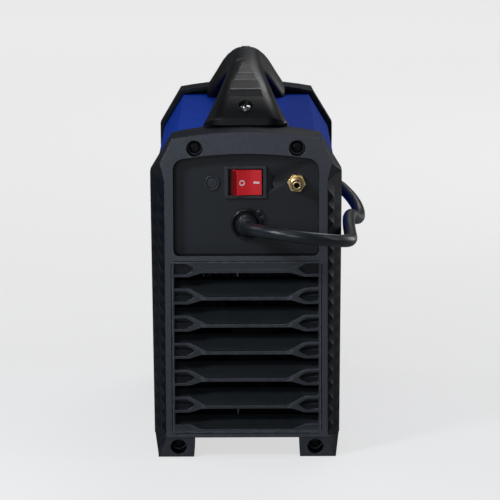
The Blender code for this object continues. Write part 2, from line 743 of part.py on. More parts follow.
def heatsink():
    fins = [(-56.0, 134.6)]
    for fin in range(11):
        left = -56.0 + 5.3 * fin
        fins += [(left, 96.0), (left + 1.8, 96.0), (left + 1.8, 128.0), (left + 5.3, 128.0)]
    fins = fins[:-1] + [(-56.0 + 5.3 * 10 + 1.8, 134.6)]
    make_object("heatsink", prism(fins, -6.0, 100.0), ALUMINIUM)


def power_electronics():
    make_object("power_board", box((-60, -100, 134.9), (2, 105, 136.5)), GREEN_BOARD)
    make_object("control_board", box((-50, -143.4, 150), (50, -141.8, 224)), GREEN_BOARD)
    profile = [(0, 48), (16.2, 48), (17.5, 46.6), (17.5, 0), (0, 0)]
    turned("capacitor", profile, (-30, -60, 136.8), (0, 0, 1), CAPACITOR_SLEEVE, 20)
    core = make_object("transformer", box((-58, 28, 20.8), (-4, 88, 66)), STEEL_SHEET)
    join(core, box((-50, 20, 28), (-12, 96, 60)))
    ring = [(28, 30), (28, 0), (13, 0), (13, 30)]
    turned("output_inductor", ring, (-30, -60, 20.9), (0, 0, 1), COPPER)


def gas_line():
    x, z = INLET
    valve = make_object("gas_valve", box((x - 12, 108, z - 12), (x + 12, 132, z + 8)), SWITCH_PLASTIC)
    join(valve, cylinder((x, 131, z), (x, 138, z), 4.0))
    route = [
        (x, 107.6, z - 2), (x, 92, z), (x + 1, 74, z + 8), (x + 4, 54, z + 14), (x + 5, 20, z + 15),
        (x + 5, -30, z + 15), (x + 6, -80, z + 15), (x + 10, -112, z + 14), (x + 22, -130, z + 10),
        (x + 42, -134, z), (x + 60, -133, z - 20),
        (FEED[0] - 1, -131, z - 44), (FEED[0], -131, 150), (FEED[0], -131, 132),
    ]
    tube("gas_hose", smooth_path(route, 14), 3.0, SWITCH_PLASTIC)


# ---------------------------------------------------------------- wire side

def wire_feeder():
    x, z = FEED
    y = ROLL[0]
    plate_x = (21.0, 27.0)
    plate = make_object("feed_plate", box((plate_x[0], -114, 76), (plate_x[1], -34, 142)), CAST_BLACK)
    cut(plate, cylinder((20, *ROLL), (28, *ROLL), 4.6))
    for foot_z in (80.0, 136.0):
        join(plate, cylinder((7.8, -108, foot_z), (22, -108, foot_z), 4.0, segments=16))
        join(plate, cylinder((7.8, -40, foot_z), (22, -40, foot_z), 4.0, segments=16))
    motor = [(0, 84), (3.9, 84), (3.9, 65.7), (14, 65.7), (14, 50), (18, 50), (18, 2), (16, 0), (0, 0)]
    turned("feed_motor", motor, (-45, *ROLL), (1, 0, 0), STEEL, 20)
    groove = [
        (15, 5), (15, 0.8), (14.4, 0), (6.5, 0), (4.3, 0), (4.3, 10), (14.4, 10), (15, 9.2), (15, 5.8),
        (14.6, 5.4),
    ]
    turned("drive_roll", groove, (28, *ROLL), (1, 0, 0), STEEL)
    roll_z = ROLL[1] + ROLL_RADIUS + 0.9 + PRESSURE_RADIUS
    ring = [(11, 10), (11, 0), (3.4, 0), (3.4, 10)]
    turned("pressure_roll", ring, (28, y, roll_z), (1, 0, 0), STEEL)
    pivot_y, pivot_z = ARM_PIVOT
    bar = [
        (pivot_y - 6, pivot_z - 5), (y - 6, roll_z - 6), (y + 6, roll_z - 6), (TENSION_Y + 7, 130.0),
        (TENSION_Y + 7, 137.0), (pivot_y - 2, pivot_z + 7), (pivot_y - 6, pivot_z + 4),
    ]
    arm = make_object("pressure_arm", prism(bar, 38.6, 43.6, "X"), CAST_BLACK)
    join(arm, cylinder((28.4, y, roll_z), (40, y, roll_z), 3.0, segments=16))
    join(arm, cylinder((27.4, pivot_y, pivot_z), (40, pivot_y, pivot_z), 4.6, segments=16))
    join(arm, box((30, TENSION_Y - 7, 130.2), (43.6, TENSION_Y + 6.8, 136.8)))
    knob = [(0, 24), (5.4, 24), (6.4, 22.6), (6.4, 3), (4.2, 0.4), (0, 0.4)]
    turned("tension_knob", knob, (36.6, TENSION_Y, 137.8), (0, 0, 1), BLACK_PLASTIC, 16)
    guide = [(3.6, 22), (3.6, 0), (1.4, 0), (1.4, 22)]
    join(plate, turned("wire_guide", guide, (x, -54, z), (0, 1, 0), steps=16))
    join(plate, box((26.0, -46, z - 3), (x - 2.4, -38, z + 3)))


def wire_supply():
    y, z = SPOOL
    hub = [(0, 49.4), (7.6, 49.4), (7.6, 3), (20, 3), (20, 0), (0, 0)]
    turned("spool_hub", hub, (7.8, y, z), (1, 0, 0), SWITCH_PLASTIC, 20)
    spool = [
        (50, 45), (50, 42.6), (28, 42.6), (28, 2.4), (50, 2.4), (50, 0), (8.2, 0), (8.2, 45),
    ]
    turned("wire_spool", spool, (11.4, y, z), (1, 0, 0), SPOOL_PLASTIC, 32)
    wire = [(42, 42.2), (42, 2.8), (28.4, 2.8), (28.4, 42.2)]
    turned("welding_wire", wire, (11.4, y, z), (1, 0, 0), COPPER, 32)
    nut = [(0, 8.4), (9, 8.4), (12, 6.6), (12, 0), (0, 0)]
    turned("spool_nut", nut, (57.6, y, z), (1, 0, 0), BLACK_PLASTIC)


# ---------------------------------------------------------------- front fittings

def front_panel():
    panel = panel_plate("front_panel", -1.0, front_window)
    x, z = DISPLAY
    cut(panel, box((x - 30, -155, z - 12), (x + 30, -150, z + 12)))
    holes = [((bx, BUTTON_Z), 5.6) for bx in BUTTONS.values()]
    holes += [(place, 4.4) for place in KNOBS.values()]
    holes += [(place, 13.4) for place in SOCKETS.values()]
    holes += [(FEED, 15.4)]
    for (x, z), radius in holes:
        cut(panel, cylinder((x, -155, z), (x, -150, z), radius))


def front_controls():
    x, z = DISPLAY
    glass = box((x - 29.6, -154.6, z - 11.6), (x + 29.6, -149.4, z + 11.6))
    window = make_object("display_window", glass, LENS)
    round_edges(window, 1.2)
    for name, bx in BUTTONS.items():
        cap = [(0, 3.4), (4.4, 3.4), (5.2, 2.6), (5.2, -5.0), (0, -5.0)]
        turned(name, cap, (bx, -154.0, BUTTON_Z), (0, -1, 0), RED_PLASTIC, 20)
    for name, (kx, kz) in KNOBS.items():
        cap = [
            (0, 17), (10.6, 17), (11.6, 15.8), (12.2, 4), (13.4, 2), (13.4, 0.4), (4.0, 0.4), (4.0, -3.0),
            (3.0, -3.0), (3.0, -8.0), (0, -8.0),
        ]
        knob = turned(name, cap, (kx, -154.0, kz), (0, -1, 0), BLACK_PLASTIC, 24)
        cut(knob, box((kx - 0.8, -172.5, kz + 4), (kx + 0.8, -170.2, kz + 14)))


def round_edges(obj, width):
    bevel = obj.modifiers.new("Bevel", "BEVEL")
    bevel.width = width * MM
    bevel.segments = 2
    bevel.limit_method = "ANGLE"


def front_sockets():
    for name, (x, z) in SOCKETS.items():
        shell = [
            (0.0, -4.0), (7.2, -4.0), (7.2, 11.6), (12.6, 11.6), (13.2, 10.6), (13.2, 4.4), (16.4, 3.4),
            (16.4, 0.4), (13.0, 0.4), (13.0, -14.0), (0.0, -14.0),
        ]
        turned(name, shell, (x, -154.0, z), (0, -1, 0), SOCKET_BLACK)
    x, z = FEED
    body = [
        (0, 4), (3.0, 4), (3.0, 12), (5.0, 12), (5.0, 2), (12.4, 2), (12.4, 17), (15.6, 17), (16.4, 16),
        (16.4, 4), (18.6, 3.2), (18.6, 0.4), (15.0, 0.4), (15.0, -12), (9.0, -12), (9.0, -26), (0, -26),
    ]
    turned("torch_socket", body, (x, -154.0, z), (0, -1, 0), BRASS)


# ---------------------------------------------------------------- mains cord

def mains_cord():
    spacing = 2 * CORD_DIAMETER
    tube("mains_cord", smooth_path(CORD_ROUTE, spacing), CORD_DIAMETER / 2, RUBBER)
    tube("mains_cord_tail", smooth_path(TAIL_ROUTE, spacing), CORD_DIAMETER / 2, RUBBER)
    inner, outer = COIL_RADII
    ring = [
        (outer, COIL_HEIGHT - 4), (outer, 4), (outer - 4, 0), (inner + 4, 0), (inner, 4),
        (inner, COIL_HEIGHT - 4),
        (inner + 4, COIL_HEIGHT), (outer - 4, COIL_HEIGHT),
    ]
    turned("mains_cord_coil", ring, (*COIL_CENTRE, 0.05), (0, 0, 1), RUBBER, 32)


def mains_plug():
    """A moulded two-pin plug that lies beside the coil on its rim and its cord end."""
    body = [
        (0, 58), (15.6, 58), (18.4, 56), (19.4, 52), (19.4, 40), (16.0, 32), (10.0, 24), (7.4, 14),
        (6.0, 0), (0, 0),
    ]
    tilt = math.radians(PLUG_TILT)
    along = Vector((math.cos(tilt), 0.0, math.sin(tilt)))
    plug = turned("mains_plug", body, PLUG_START, along, RUBBER)
    for hand in SIDES:
        root = Vector(PLUG_START) + along * 56 + Vector((0.0, hand * 9.5, 0.0))
        join(plug, cylinder(root, root + along * 21, 2.4, segments=12))


clear_scene()
PARTS = collection("mig_welder")
CUTTERS = collection("cutters")
CUTTERS.hide_render = True

BLACK_PLASTIC = principled("black_plastic", (0.030, 0.033, 0.040), 0.55)
SWITCH_PLASTIC = principled("switch_plastic", (0.012, 0.012, 0.014), 0.35)
RED_PLASTIC = principled("red_plastic", (0.45, 0.010, 0.016), 0.28)
BLUE_PAINT = principled("blue_paint", (0.001, 0.022, 0.20), 0.35)
BRASS = principled("brass", (0.62, 0.40, 0.13), 0.25, 1.0)
SOCKET_BLACK = principled("socket_black", (0.015, 0.015, 0.016), 0.4)
STEEL = principled("zinc_steel", (0.45, 0.46, 0.48), 0.3, 1.0)
STEEL_SHEET = principled("sheet_steel", (0.36, 0.37, 0.38), 0.4, 1.0)
CAST_BLACK = principled("cast_black", (0.03, 0.03, 0.03), 0.5, 0.4)
ALUMINIUM = principled("aluminium", (0.6, 0.61, 0.62), 0.35, 1.0)
COPPER = principled("copper", (0.66, 0.28, 0.13), 0.3, 1.0)
GREEN_BOARD = principled("circuit_board", (0.01, 0.10, 0.04), 0.45)
CAPACITOR_SLEEVE = principled("capacitor_sleeve", (0.02, 0.03, 0.05), 0.4)
SPOOL_PLASTIC = principled("spool_plastic", (0.02, 0.02, 0.02), 0.4)
LENS = principled("display_lens", (0.01, 0.01, 0.012), 0.08)
RUBBER = principled("rubber", (0.012, 0.014, 0.018), 0.42)

rear_frame()
front_frame()
frame_screws("rear_frame", 1.0)
frame_screws("front_frame", -1.0)
rear_grille()
rear_panel()
switch_housing()
power_rocker()
gas_inlet()
blanking_plug()
cable_gland()
base_tray()
body_cover()
side_door()
hinge_pins()
door_latch()
partition()
handle()
handle_screws()
fan()
heatsink()
power_electronics()
gas_line()
wire_feeder()
wire_supply()
front_panel()
front_controls()
front_sockets()
mains_cord()
mains_plug()
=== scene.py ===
"""The looks of a compact inverter MIG welder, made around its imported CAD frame.

Sizes in this file are millimetres in the frame's own axes: +Y is the mains side that the camera sees,
-Y the control side and +X the door side. mesh_of() turns them into metres.
"""

import json
import math

import bmesh
import bpy
from mathutils import Matrix, Vector


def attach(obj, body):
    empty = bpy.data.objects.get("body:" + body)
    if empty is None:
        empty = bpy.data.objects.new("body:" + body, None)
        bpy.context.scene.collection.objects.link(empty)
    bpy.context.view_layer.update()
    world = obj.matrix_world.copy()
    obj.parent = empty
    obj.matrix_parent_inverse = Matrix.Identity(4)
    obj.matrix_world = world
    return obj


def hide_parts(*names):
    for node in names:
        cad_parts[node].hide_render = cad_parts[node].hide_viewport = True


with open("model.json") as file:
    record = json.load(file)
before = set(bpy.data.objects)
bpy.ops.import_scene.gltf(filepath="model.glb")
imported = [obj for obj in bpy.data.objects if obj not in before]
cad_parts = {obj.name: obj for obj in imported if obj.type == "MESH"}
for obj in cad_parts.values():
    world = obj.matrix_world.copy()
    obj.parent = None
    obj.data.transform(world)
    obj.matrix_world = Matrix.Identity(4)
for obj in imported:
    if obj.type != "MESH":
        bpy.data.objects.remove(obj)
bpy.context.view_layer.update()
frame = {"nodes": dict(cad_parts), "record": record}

MM = 0.001
SIDES = (-1.0, 1.0)
ENDS = (("front", -1.0), ("rear", 1.0))
BODIES = {node: body for body, nodes in frame["record"]["behaviour"]["bodies"].items() for node in nodes}

# Camera, a long lens on the mains side.
CAMERA_TARGET = Vector((-2.8, -5.0, 129.9))
CAMERA_DISTANCE = 2399.0
CAMERA_ELEVATION = 10.01
CAMERA_ROLL = -0.23
CAMERA_LENS = 214.4

# Stage and lights: place, size in metres, watts, colour and aim of each softbox.
SKY_TONE = (0.80, 0.80, 0.80)
AMBIENT_TONE = (0.86, 0.92, 1.0)
AMBIENT = 0.07
FLOOR_RADIUS = 9.0
FLOOR_TONE = 0.26
FLOOR_GLOW = 0.645
FLOOR_FAR_GLOW = 0.80
FLOOR_GLOW_REACH = (0.3, 3.0)
FLOOR_BOUNCE = 0.03
FLOOR_DROP = 0.0002
WHITE = (1.0, 1.0, 1.0)
COOL = (0.88, 0.94, 1.0)
SOFTBOXES = {
    "key": ((420.0, 620.0, 560.0), (0.13, 0.13), 2.7, COOL, (0.0, 165.0, 150.0)),
    "fill": ((400.0, 2400.0, 700.0), (0.8, 0.8), 9.0, COOL, (0.0, 165.0, 130.0)),
    "rim": ((-900.0, 250.0, 700.0), (0.3, 0.9), 1.6, COOL, (0.0, 0.0, 220.0)),
    "top": ((200.0, 500.0, 1500.0), (0.8, 0.25), 1.4, WHITE, (0.0, 0.0, 140.0)),
    "front": ((-500.0, -1500.0, 1900.0), (0.9, 0.9), 14.0, WHITE, (0.0, 0.0, 140.0)),
    "control": ((-1500.0, -1300.0, 450.0), (0.9, 0.9), 7.0, WHITE, (0.0, -165.0, 130.0)),
    "door": ((1700.0, -500.0, 1300.0), (0.8, 0.8), 4.5, WHITE, (0.0, 0.0, 140.0)),
}

# Mains cord: the same route as the CAD model's.
CORD_DIAMETER = 9.5
CORD_SPACING = 3.0
CORD_ROUTE = [
    (-0.5, 166.6, 178.0), (-0.4, 175.0, 178.6), (-3.2, 188.9, 179.8), (-11.6, 201.4, 180.2),
    (-24.2, 209.8, 179.4), (-39.0, 212.8, 177.8), (-53.8, 209.8, 175.6), (-66.4, 201.4, 173.0),
    (-74.8, 188.9, 170.8), (-77.9, 173.5, 169.4), (-78.4, 156.0, 168.8), (-78.2, 138.0, 169.8),
    (-78.2, 118.0, 171.8), (-79.0, 98.0, 173.2), (-81.6, 78.0, 172.0), (-86.0, 58.0, 166.0),
    (-89.0, 38.0, 164.4), (-88.6, 18.0, 167.6), (-85.4, -2.0, 171.2), (-80.8, -21.0, 174.4),
    (-76.2, -39.0, 176.2), (-73.8, -57.0, 173.6), (-73.4, -73.0, 163.0), (-73.4, -83.5, 146.0),
    (-73.4, -87.6, 125.0), (-73.4, -88.0, 92.0), (-73.4, -88.6, 60.0), (-73.4, -92.6, 38.0),
    (-73.4, -104.0, 19.5), (-73.8, -121.0, 8.4), (-73.9, -145.0, 5.2), (-72.8, -185.0, 4.9),
    (-67.4, -221.0, 4.9),
]
COIL_CENTRE = (0.0, -245.0)
COIL_TURNS = 4
COIL_POINTS_PER_TURN = 20
COIL_LAYERS = (4.85, 14.45)
COIL_RADII = (42.5, 61.0)
COIL_CLIMB = (1.85, 2.15)
TAIL_ROUTE = [
    (-61.0, -283.0, 12.0), (-61.0, -296.0, 7.6), (-58.6, -309.8, 5.3), (-49.7, -323.7, 4.9),
    (-37.2, -332.1, 4.9), (-23.0, -335.0, 5.2), (-13.0, -335.0, 6.2),
]
PLUG_START = Vector((-11.4, -335.0, 6.6))
PLUG_TILT = 17.8
PLUG_FACE = 57.5
PIN_OFFSET = 9.5
TIE_WIDTH = 18.0
TIE_TURN = -70.0

# Sizes shared with the CAD model.
SWITCH = (0.3, 209.7)
ROCKER_PIVOT_Y = 152.5
ROCKER_TILT = 10.0
INLET = (-37.8, 209.3)
BLANK = (25.1, 209.3)
GLAND = (-0.5, 178.0)
PANEL_Y = 154.0
FRAME_SCREWS = (("upper", (38.2, 236.6), 159.4), ("lower", (51.8, 8.4), 149.2))
HANDLE_OUTER = (150.0, 236.0, 56.6)
HANDLE_INNER = (112.0, 225.0, 48.0)
HANDLE_END_ANGLE = 69.5
HANDLE_SCREW = (129.6, 264.5)
GRIP_HALF = 12.2
LEG_HALF = 32.6
KNOBS = (("voltage_knob", -30.0, "voltage"), ("wire_speed_knob", 30.0, "wire_speed"))
KNOB_Z = 156.0
BUTTONS = (("mode_button", -30.0, "mode"), ("wire_inch_button", 30.0, "inch"))
BUTTON_Z = 181.0
SOCKETS = (("positive_socket", -28.0, True), ("negative_socket", 24.0, False))
SOCKET_Z = 62.0
TORCH = (33.0, 115.0)
SPOOL = (35.0, 165.0)
SPOOL_FLANGE_X = 56.4
WIRE_RADIUS = 41.8
WIRE_X = 33.0
WIRE_GUIDE = (-31.5, 115.0)
WIRE_END_Y = -60.0


# ---------- materials

# Colour for the lighter edges of the black plastics: a painted edge highlight.
EDGE = (0.10, 0.11, 0.13)


def procedural(
    name, colour, roughness, metallic=0.0, grain=(1500, 0.05), mottle=(60, 0.12), rough_spread=0.06,
    wear_and_edge_light=0.0, wear_and_edge_light_colour=EDGE, coat=0.0, dents=0.0, lines=None, specular=0.5,
):
    """A Principled shader with colour mottle, uneven gloss, lighter edges and a fine bump, all from noise. The
    lighter edges are a painted highlight, and on brass and the casting also wear.

    grain is (scale per metre, depth in mm); lines is (direction, scale, depth) for a wave bump."""
    made = bpy.data.materials.new(name)
    made.use_nodes = True
    nodes, links = made.node_tree.nodes, made.node_tree.links
    shader = nodes["Principled BSDF"]
    shader.inputs["Metallic"].default_value = metallic
    shader.inputs["Coat Weight"].default_value = coat
    shader.inputs["Specular IOR Level"].default_value = specular
    shader.inputs["Coat Roughness"].default_value = 0.12
    place = nodes.new("ShaderNodeTexCoord").outputs["Object"]

    def noise(scale, detail=4.0):
        node = nodes.new("ShaderNodeTexNoise")
        node.inputs["Scale"].default_value = scale
        node.inputs["Detail"].default_value = detail
        links.new(place, node.inputs["Vector"])
        return node.outputs["Fac"]

    def blended(factor, first, second):
        node = nodes.new("ShaderNodeMix")
        node.data_type = "RGBA"
        links.new(factor, node.inputs["Factor"])
        for socket, value in (("A", first), ("B", second)):
            target = next(s for s in node.inputs if s.name == socket and s.type == "RGBA")
            if isinstance(value, bpy.types.NodeSocket):
                links.new(value, target)
            else:
                target.default_value = (*value, 1.0)
        return next(s for s in node.outputs if s.type == "RGBA")

    scale, amount = mottle
    dark = tuple(c * (1 - amount) for c in colour)
    light = tuple(min(1.0, c * (1 + amount)) for c in colour)
    tone = blended(remap(nodes, links, noise(scale), 0.3, 0.7, 0.0, 1.0), dark, light)
    # Edges made lighter by pointiness: a painted highlight on rounded edges, which on brass and the casting
    # also stands for wear.
    if wear_and_edge_light:
        edge = nodes.new("ShaderNodeNewGeometry").outputs["Pointiness"]
        worn_and_lit_edges = nodes.new("ShaderNodeMath")
        worn_and_lit_edges.operation = "MULTIPLY"
        links.new(remap(nodes, links, edge, 0.51, 0.58, 0.0, wear_and_edge_light), worn_and_lit_edges.inputs[0])
        links.new(remap(nodes, links, noise(220.0), 0.35, 0.6, 0.25, 1.0), worn_and_lit_edges.inputs[1])
        tone = blended(worn_and_lit_edges.outputs[0], tone, wear_and_edge_light_colour)
    links.new(tone, shader.inputs["Base Color"])
    shiny, dull = roughness - rough_spread, roughness + rough_spread
    gloss = remap(nodes, links, noise(scale * 3.1, 6.0), 0.25, 0.75, shiny, dull)
    links.new(gloss, shader.inputs["Roughness"])

    reliefs = [(noise(grain[0], 2.0), grain[1])]
    if dents:
        reliefs.append((noise(38.0, 1.0), dents))
    if lines:
        wave = nodes.new("ShaderNodeTexWave")
        wave.bands_direction = lines[0]
        wave.inputs["Scale"].default_value = lines[1]
        links.new(place, wave.inputs["Vector"])
        reliefs.append((wave.outputs["Fac"], lines[2]))
    normal = None
    for height, depth in reliefs:
        bump = nodes.new("ShaderNodeBump")
        bump.inputs["Distance"].default_value = depth * MM
        links.new(height, bump.inputs["Height"])
        if normal:
            links.new(normal, bump.inputs["Normal"])
        normal = bump.outputs["Normal"]
    links.new(normal, shader.inputs["Normal"])
    return made


def remap(nodes, links, value, low, high, to_low, to_high):
    """A Map Range node on this value; its result socket."""
    node = nodes.new("ShaderNodeMapRange")
    for socket, number in zip(("From Min", "From Max", "To Min", "To Max"), (low, high, to_low, to_high)):
        node.inputs[socket].default_value = number
    links.new(value, node.inputs["Value"])
    return node.outputs["Result"]


# Moulded plastic.
MATT = procedural("moulded_frame", (0.034, 0.038, 0.048), 0.52, grain=(900, 0.10), mottle=(800, 0.30), wear_and_edge_light=0.5)
# A darker copy of the frame plastic: painted shade for the frames' bevels and walls.
SHADED_FACETS = procedural("moulded_facets_painted_shade", (0.003, 0.005, 0.009), 0.40, grain=(1300, 0.05), wear_and_edge_light=0.2, specular=0.1)
# The grille's plastic, darker on the deep slats: painted shade.
SHADED_LOUVRE = procedural("moulded_louvre_painted_shade", (0.006, 0.0085, 0.011), 0.44, specular=0.25)
PANEL = procedural(
    "moulded_panel", (0.010, 0.0122, 0.0165), 0.48, mottle=(700, 0.04), rough_spread=0.02, specular=0.4,
)
PANEL_TRIM = procedural("moulded_trim", (0.020, 0.023, 0.029), 0.34, grain=(1500, 0.03), wear_and_edge_light=0.5)
# Its edges get a strong painted highlight in a lighter grey.
GRILLE = procedural(
    "moulded_grille", (0.0145, 0.018, 0.024), 0.46, mottle=(700, 0.08), wear_and_edge_light=1.0,
    wear_and_edge_light_colour=(0.14, 0.15, 0.18),
)
# Lighter plastic for thin lines and small facets on the grille: painted highlight.
GRILLE_HIGHLIGHT = procedural("painted_edge_highlight", (0.058, 0.066, 0.080), 0.36, grain=(1500, 0.02))
GRIP = procedural("moulded_handle", (0.0016, 0.0018, 0.0026), 0.40, grain=(1100, 0.04), specular=0.22)
RIB = procedural("moulded_rib", (0.030, 0.032, 0.036), 0.45, grain=(1300, 0.04), wear_and_edge_light=0.4)
# Light grey for thin lines along the handle's steps: painted highlight.
LEDGE_HIGHLIGHT = procedural("painted_ledge_highlight", (0.20, 0.20, 0.21), 0.45, grain=(1300, 0.02))
STEP_EDGE = procedural(
    "moulded_step", (0.004, 0.004, 0.006), 0.42, grain=(1300, 0.03), wear_and_edge_light=1.0,
    wear_and_edge_light_colour=(0.03, 0.03, 0.034),
)
SATIN = procedural("satin_black", (0.008, 0.008, 0.010), 0.30, grain=(2000, 0.02), wear_and_edge_light=0.2)
SATIN_GREY = procedural("moulded_bezel", (0.018, 0.021, 0.026), 0.36, grain=(1500, 0.04), wear_and_edge_light=0.5)
KNOB = procedural("soft_black", (0.013, 0.013, 0.014), 0.42, grain=(1600, 0.05), wear_and_edge_light=0.3)
# Near-black plastic for the fan, also used as painted shade deep in the gas inlet's bore.
BLACK_AND_BORE_SHADE = procedural("fan_black_and_bore_shade", (0.003, 0.003, 0.0035), 0.70, grain=(1500, 0.03), specular=0.08)
RED = procedural(
    "red_gloss", (0.80, 0.018, 0.028), 0.30, grain=(900, 0.01), mottle=(90, 0.05), rough_spread=0.03,
    coat=0.3,
)
# A darker copy of the rocker's red: painted shade on its steep ends.
RED_SHADED_SIDE = procedural("red_painted_shade_side", (0.20, 0.002, 0.005), 0.40, grain=(900, 0.01), mottle=(90, 0.05))
LENS = procedural("tinted_lens", (0.004, 0.004, 0.005), 0.07, grain=(300, 0.002), rough_spread=0.02, coat=0.5)
SEGMENT = procedural("unlit_segment", (0.030, 0.032, 0.034), 0.3, grain=(900, 0.01))

# Sheet metal, fasteners and castings.
BLUE = procedural(
    "blue_powder_coat", (0.0006, 0.040, 0.40), 0.50, grain=(620, 0.035), mottle=(14, 0.05), wear_and_edge_light=0.12,
    wear_and_edge_light_colour=(0.02, 0.08, 0.45), specular=0.04,
)
BRASS = procedural(
    "turned_brass", (0.86, 0.62, 0.30), 0.33, 1.0, grain=(900, 0.01), mottle=(160, 0.10), wear_and_edge_light=0.3,
    wear_and_edge_light_colour=(0.95, 0.78, 0.48),
)
ZINC = procedural("bright_zinc", (0.42, 0.43, 0.45), 0.26, 1.0, grain=(1200, 0.01), mottle=(200, 0.15))
# Near-black screw heads, as dark as the bores they sit in.
DARK_SCREW = procedural("near_black_screw", (0.012, 0.012, 0.014), 0.50, 0.6, grain=(1200, 0.02))
GALVANISED = procedural(
    "galvanised_sheet", (0.38, 0.39, 0.40), 0.40, 1.0, grain=(420, 0.02), mottle=(85, 0.2),
    rough_spread=0.12,
)
CASTING = procedural(
    "painted_casting", (0.022, 0.022, 0.024), 0.50, grain=(520, 0.10), wear_and_edge_light=0.5, wear_and_edge_light_colour=(0.5, 0.5, 0.5),
)
LACQUER = procedural("black_lacquer", (0.006, 0.006, 0.007), 0.5, grain=(900, 0.05), specular=0.2)

# Electrical parts, cord and print.
COPPER = procedural("wound_copper", (0.66, 0.27, 0.12), 0.27, 1.0, lines=("X", 310, 0.30), mottle=(120, 0.2))
BOARD = procedural("solder_mask", (0.008, 0.085, 0.032), 0.38, grain=(260, 0.05), mottle=(240, 0.4), coat=0.3)
SLEEVE = procedural("shrink_sleeve", (0.014, 0.020, 0.032), 0.34, grain=(500, 0.02))
RUBBER = procedural(
    "cable_rubber", (0.011, 0.0145, 0.0185), 0.33, grain=(1400, 0.05), mottle=(40, 0.2), rough_spread=0.07,
    dents=0.25,
)
STRAP = procedural("woven_strap", (0.014, 0.014, 0.015), 0.8, grain=(1900, 0.25), lines=("X", 400, 0.12))
INK = procedural("white_print", (0.80, 0.80, 0.80), 0.45, grain=(900, 0.01), mottle=(300, 0.05))
GREY_INK = procedural("grey_print", (0.33, 0.34, 0.36), 0.5, grain=(900, 0.01), mottle=(300, 0.08))
ROCKER_INK = procedural("rocker_print", (0.98, 0.66, 0.70), 0.45, grain=(900, 0.01), mottle=(300, 0.03))


# ---------- mesh helpers

def new_object(name, data):
    obj = bpy.data.objects.new(name, data)
    bpy.context.scene.collection.objects.link(obj)
    return obj


def link(name, mesh, paint, body, nodes=(), slot=None, bevel=0.0, segments=2, sharp=32.0):
    """Places a mesh as a piece: material, rounded edges, smooth shading, its body and what it stands for."""
    for face in mesh.polygons:
        face.use_smooth = True
    mesh.materials.clear()
    mesh.materials.append(paint)
    obj = new_object(name, mesh)
    if bevel:
        rounding = obj.modifiers.new("Rounding", "BEVEL")
        rounding.width = bevel * MM
        rounding.segments = segments
        rounding.limit_method = "ANGLE"
        rounding.angle_limit = math.radians(sharp)
        rounding.use_clamp_overlap = False
        rounding.harden_normals = True
        rounding.miter_outer = "MITER_SHARP"
        shading = obj.modifiers.new("Flat faces", "WEIGHTED_NORMAL")
        shading.weight = 100
        shading.keep_sharp = True
    else:
        mesh.set_sharp_from_angle(angle=math.radians(sharp))
    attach(obj, body)
    if nodes:
        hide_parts(*nodes)
    return obj


def mesh_of(bm, name, scale=MM):
    """A mesh made from a bmesh, which it frees."""
    bmesh.ops.recalc_face_normals(bm, faces=bm.faces)
    bmesh.ops.scale(bm, vec=(scale, scale, scale), verts=bm.verts)
    mesh = bpy.data.meshes.new(name)
    bm.to_mesh(mesh)
    bm.free()
    return mesh


def add(name, bm, paint, body="housing", nodes=(), **settings):
    return link(name, mesh_of(bm, name), paint, body, nodes, **settings)


def refined(node, paint, bevel=0.35, **settings):
    """Stands for a CAD node with the same shape, rounded edges and a finished surface."""
    bm = bmesh.new()
    bm.from_mesh(frame["nodes"][node].data)
    bmesh.ops.remove_doubles(bm, verts=bm.verts, dist=3e-6)
    bmesh.ops.join_triangles(
        bm, faces=bm.faces, angle_face_threshold=math.radians(0.5), angle_shape_threshold=math.radians(180)
    )
    name = node + "_finish"
    return link(name, mesh_of(bm, name, 1.0), paint, BODIES[node], (node,), bevel=bevel, **settings)


def placed(bm, matrix):
    bmesh.ops.transform(bm, matrix=matrix, verts=bm.verts)
    return bm


def along_axis(at, axis):
    """The placement that turns +Z to this axis and moves the origin to this point."""
    turn = Vector((0, 0, 1)).rotation_difference(Vector(axis)).to_matrix().to_4x4()
    return Matrix.Translation(Vector(at)) @ turn


def swung(at, degrees, axis):
    """The placement that turns round this axis and moves the origin to this point."""
    return Matrix.Translation(at) @ Matrix.Rotation(math.radians(degrees), 4, axis)


def angles(count):
    return [math.tau * k / count for k in range(count)]


def box(low, high):
    low, high = Vector(low), Vector(high)
    bm = bmesh.new()
    matrix = Matrix.Translation((low + high) / 2) @ Matrix.Diagonal((*(high - low), 1.0))
    bmesh.ops.create_cube(bm, size=1.0, matrix=matrix)
    return bm


def cylinder(start, end, radius, end_radius=None, segments=48):
    start, end = Vector(start), Vector(end)
    bm = bmesh.new()
    bmesh.ops.create_cone(
        bm, cap_ends=True, segments=segments, radius1=radius,
        radius2=radius if end_radius is None else end_radius, depth=(end - start).length,
        matrix=along_axis((start + end) / 2, end - start),
    )
    return bm


def loft(loops, closed=False):
    """A solid through loops that have the same number of points; closed joins the last loop to the first."""
    bm = bmesh.new()
    rings = [[bm.verts.new(p) for p in loop] for loop in loops]
    pairs = list(zip(rings, rings[1:])) + ([(rings[-1], rings[0])] if closed else [])
    for low, high in pairs:
        for i in range(len(low)):
            j = (i + 1) % len(low)
            bm.faces.new((low[i], low[j], high[j], high[i]))
    if not closed:
        bm.faces.new(rings[0][::-1])
        bm.faces.new(rings[-1])
    return bm


def turned(profile, at, axis, steps=64):
    """A profile of (radius, distance along the axis), turned; a profile with no end on the axis is a ring."""
    bm = bmesh.new()
    points = [bm.verts.new((r, 0.0, h)) for r, h in profile]
    edges = [bm.edges.new(pair) for pair in zip(points, points[1:])]
    if profile[0][0] > 0:
        edges.append(bm.edges.new((points[-1], points[0])))
    bmesh.ops.spin(
        bm, geom=points + edges, cent=(0, 0, 0), axis=(0, 0, 1), angle=math.tau, steps=steps, use_merge=True
    )
    bmesh.ops.remove_doubles(bm, verts=bm.verts, dist=1e-4)
    return placed(bm, along_axis(at, axis))


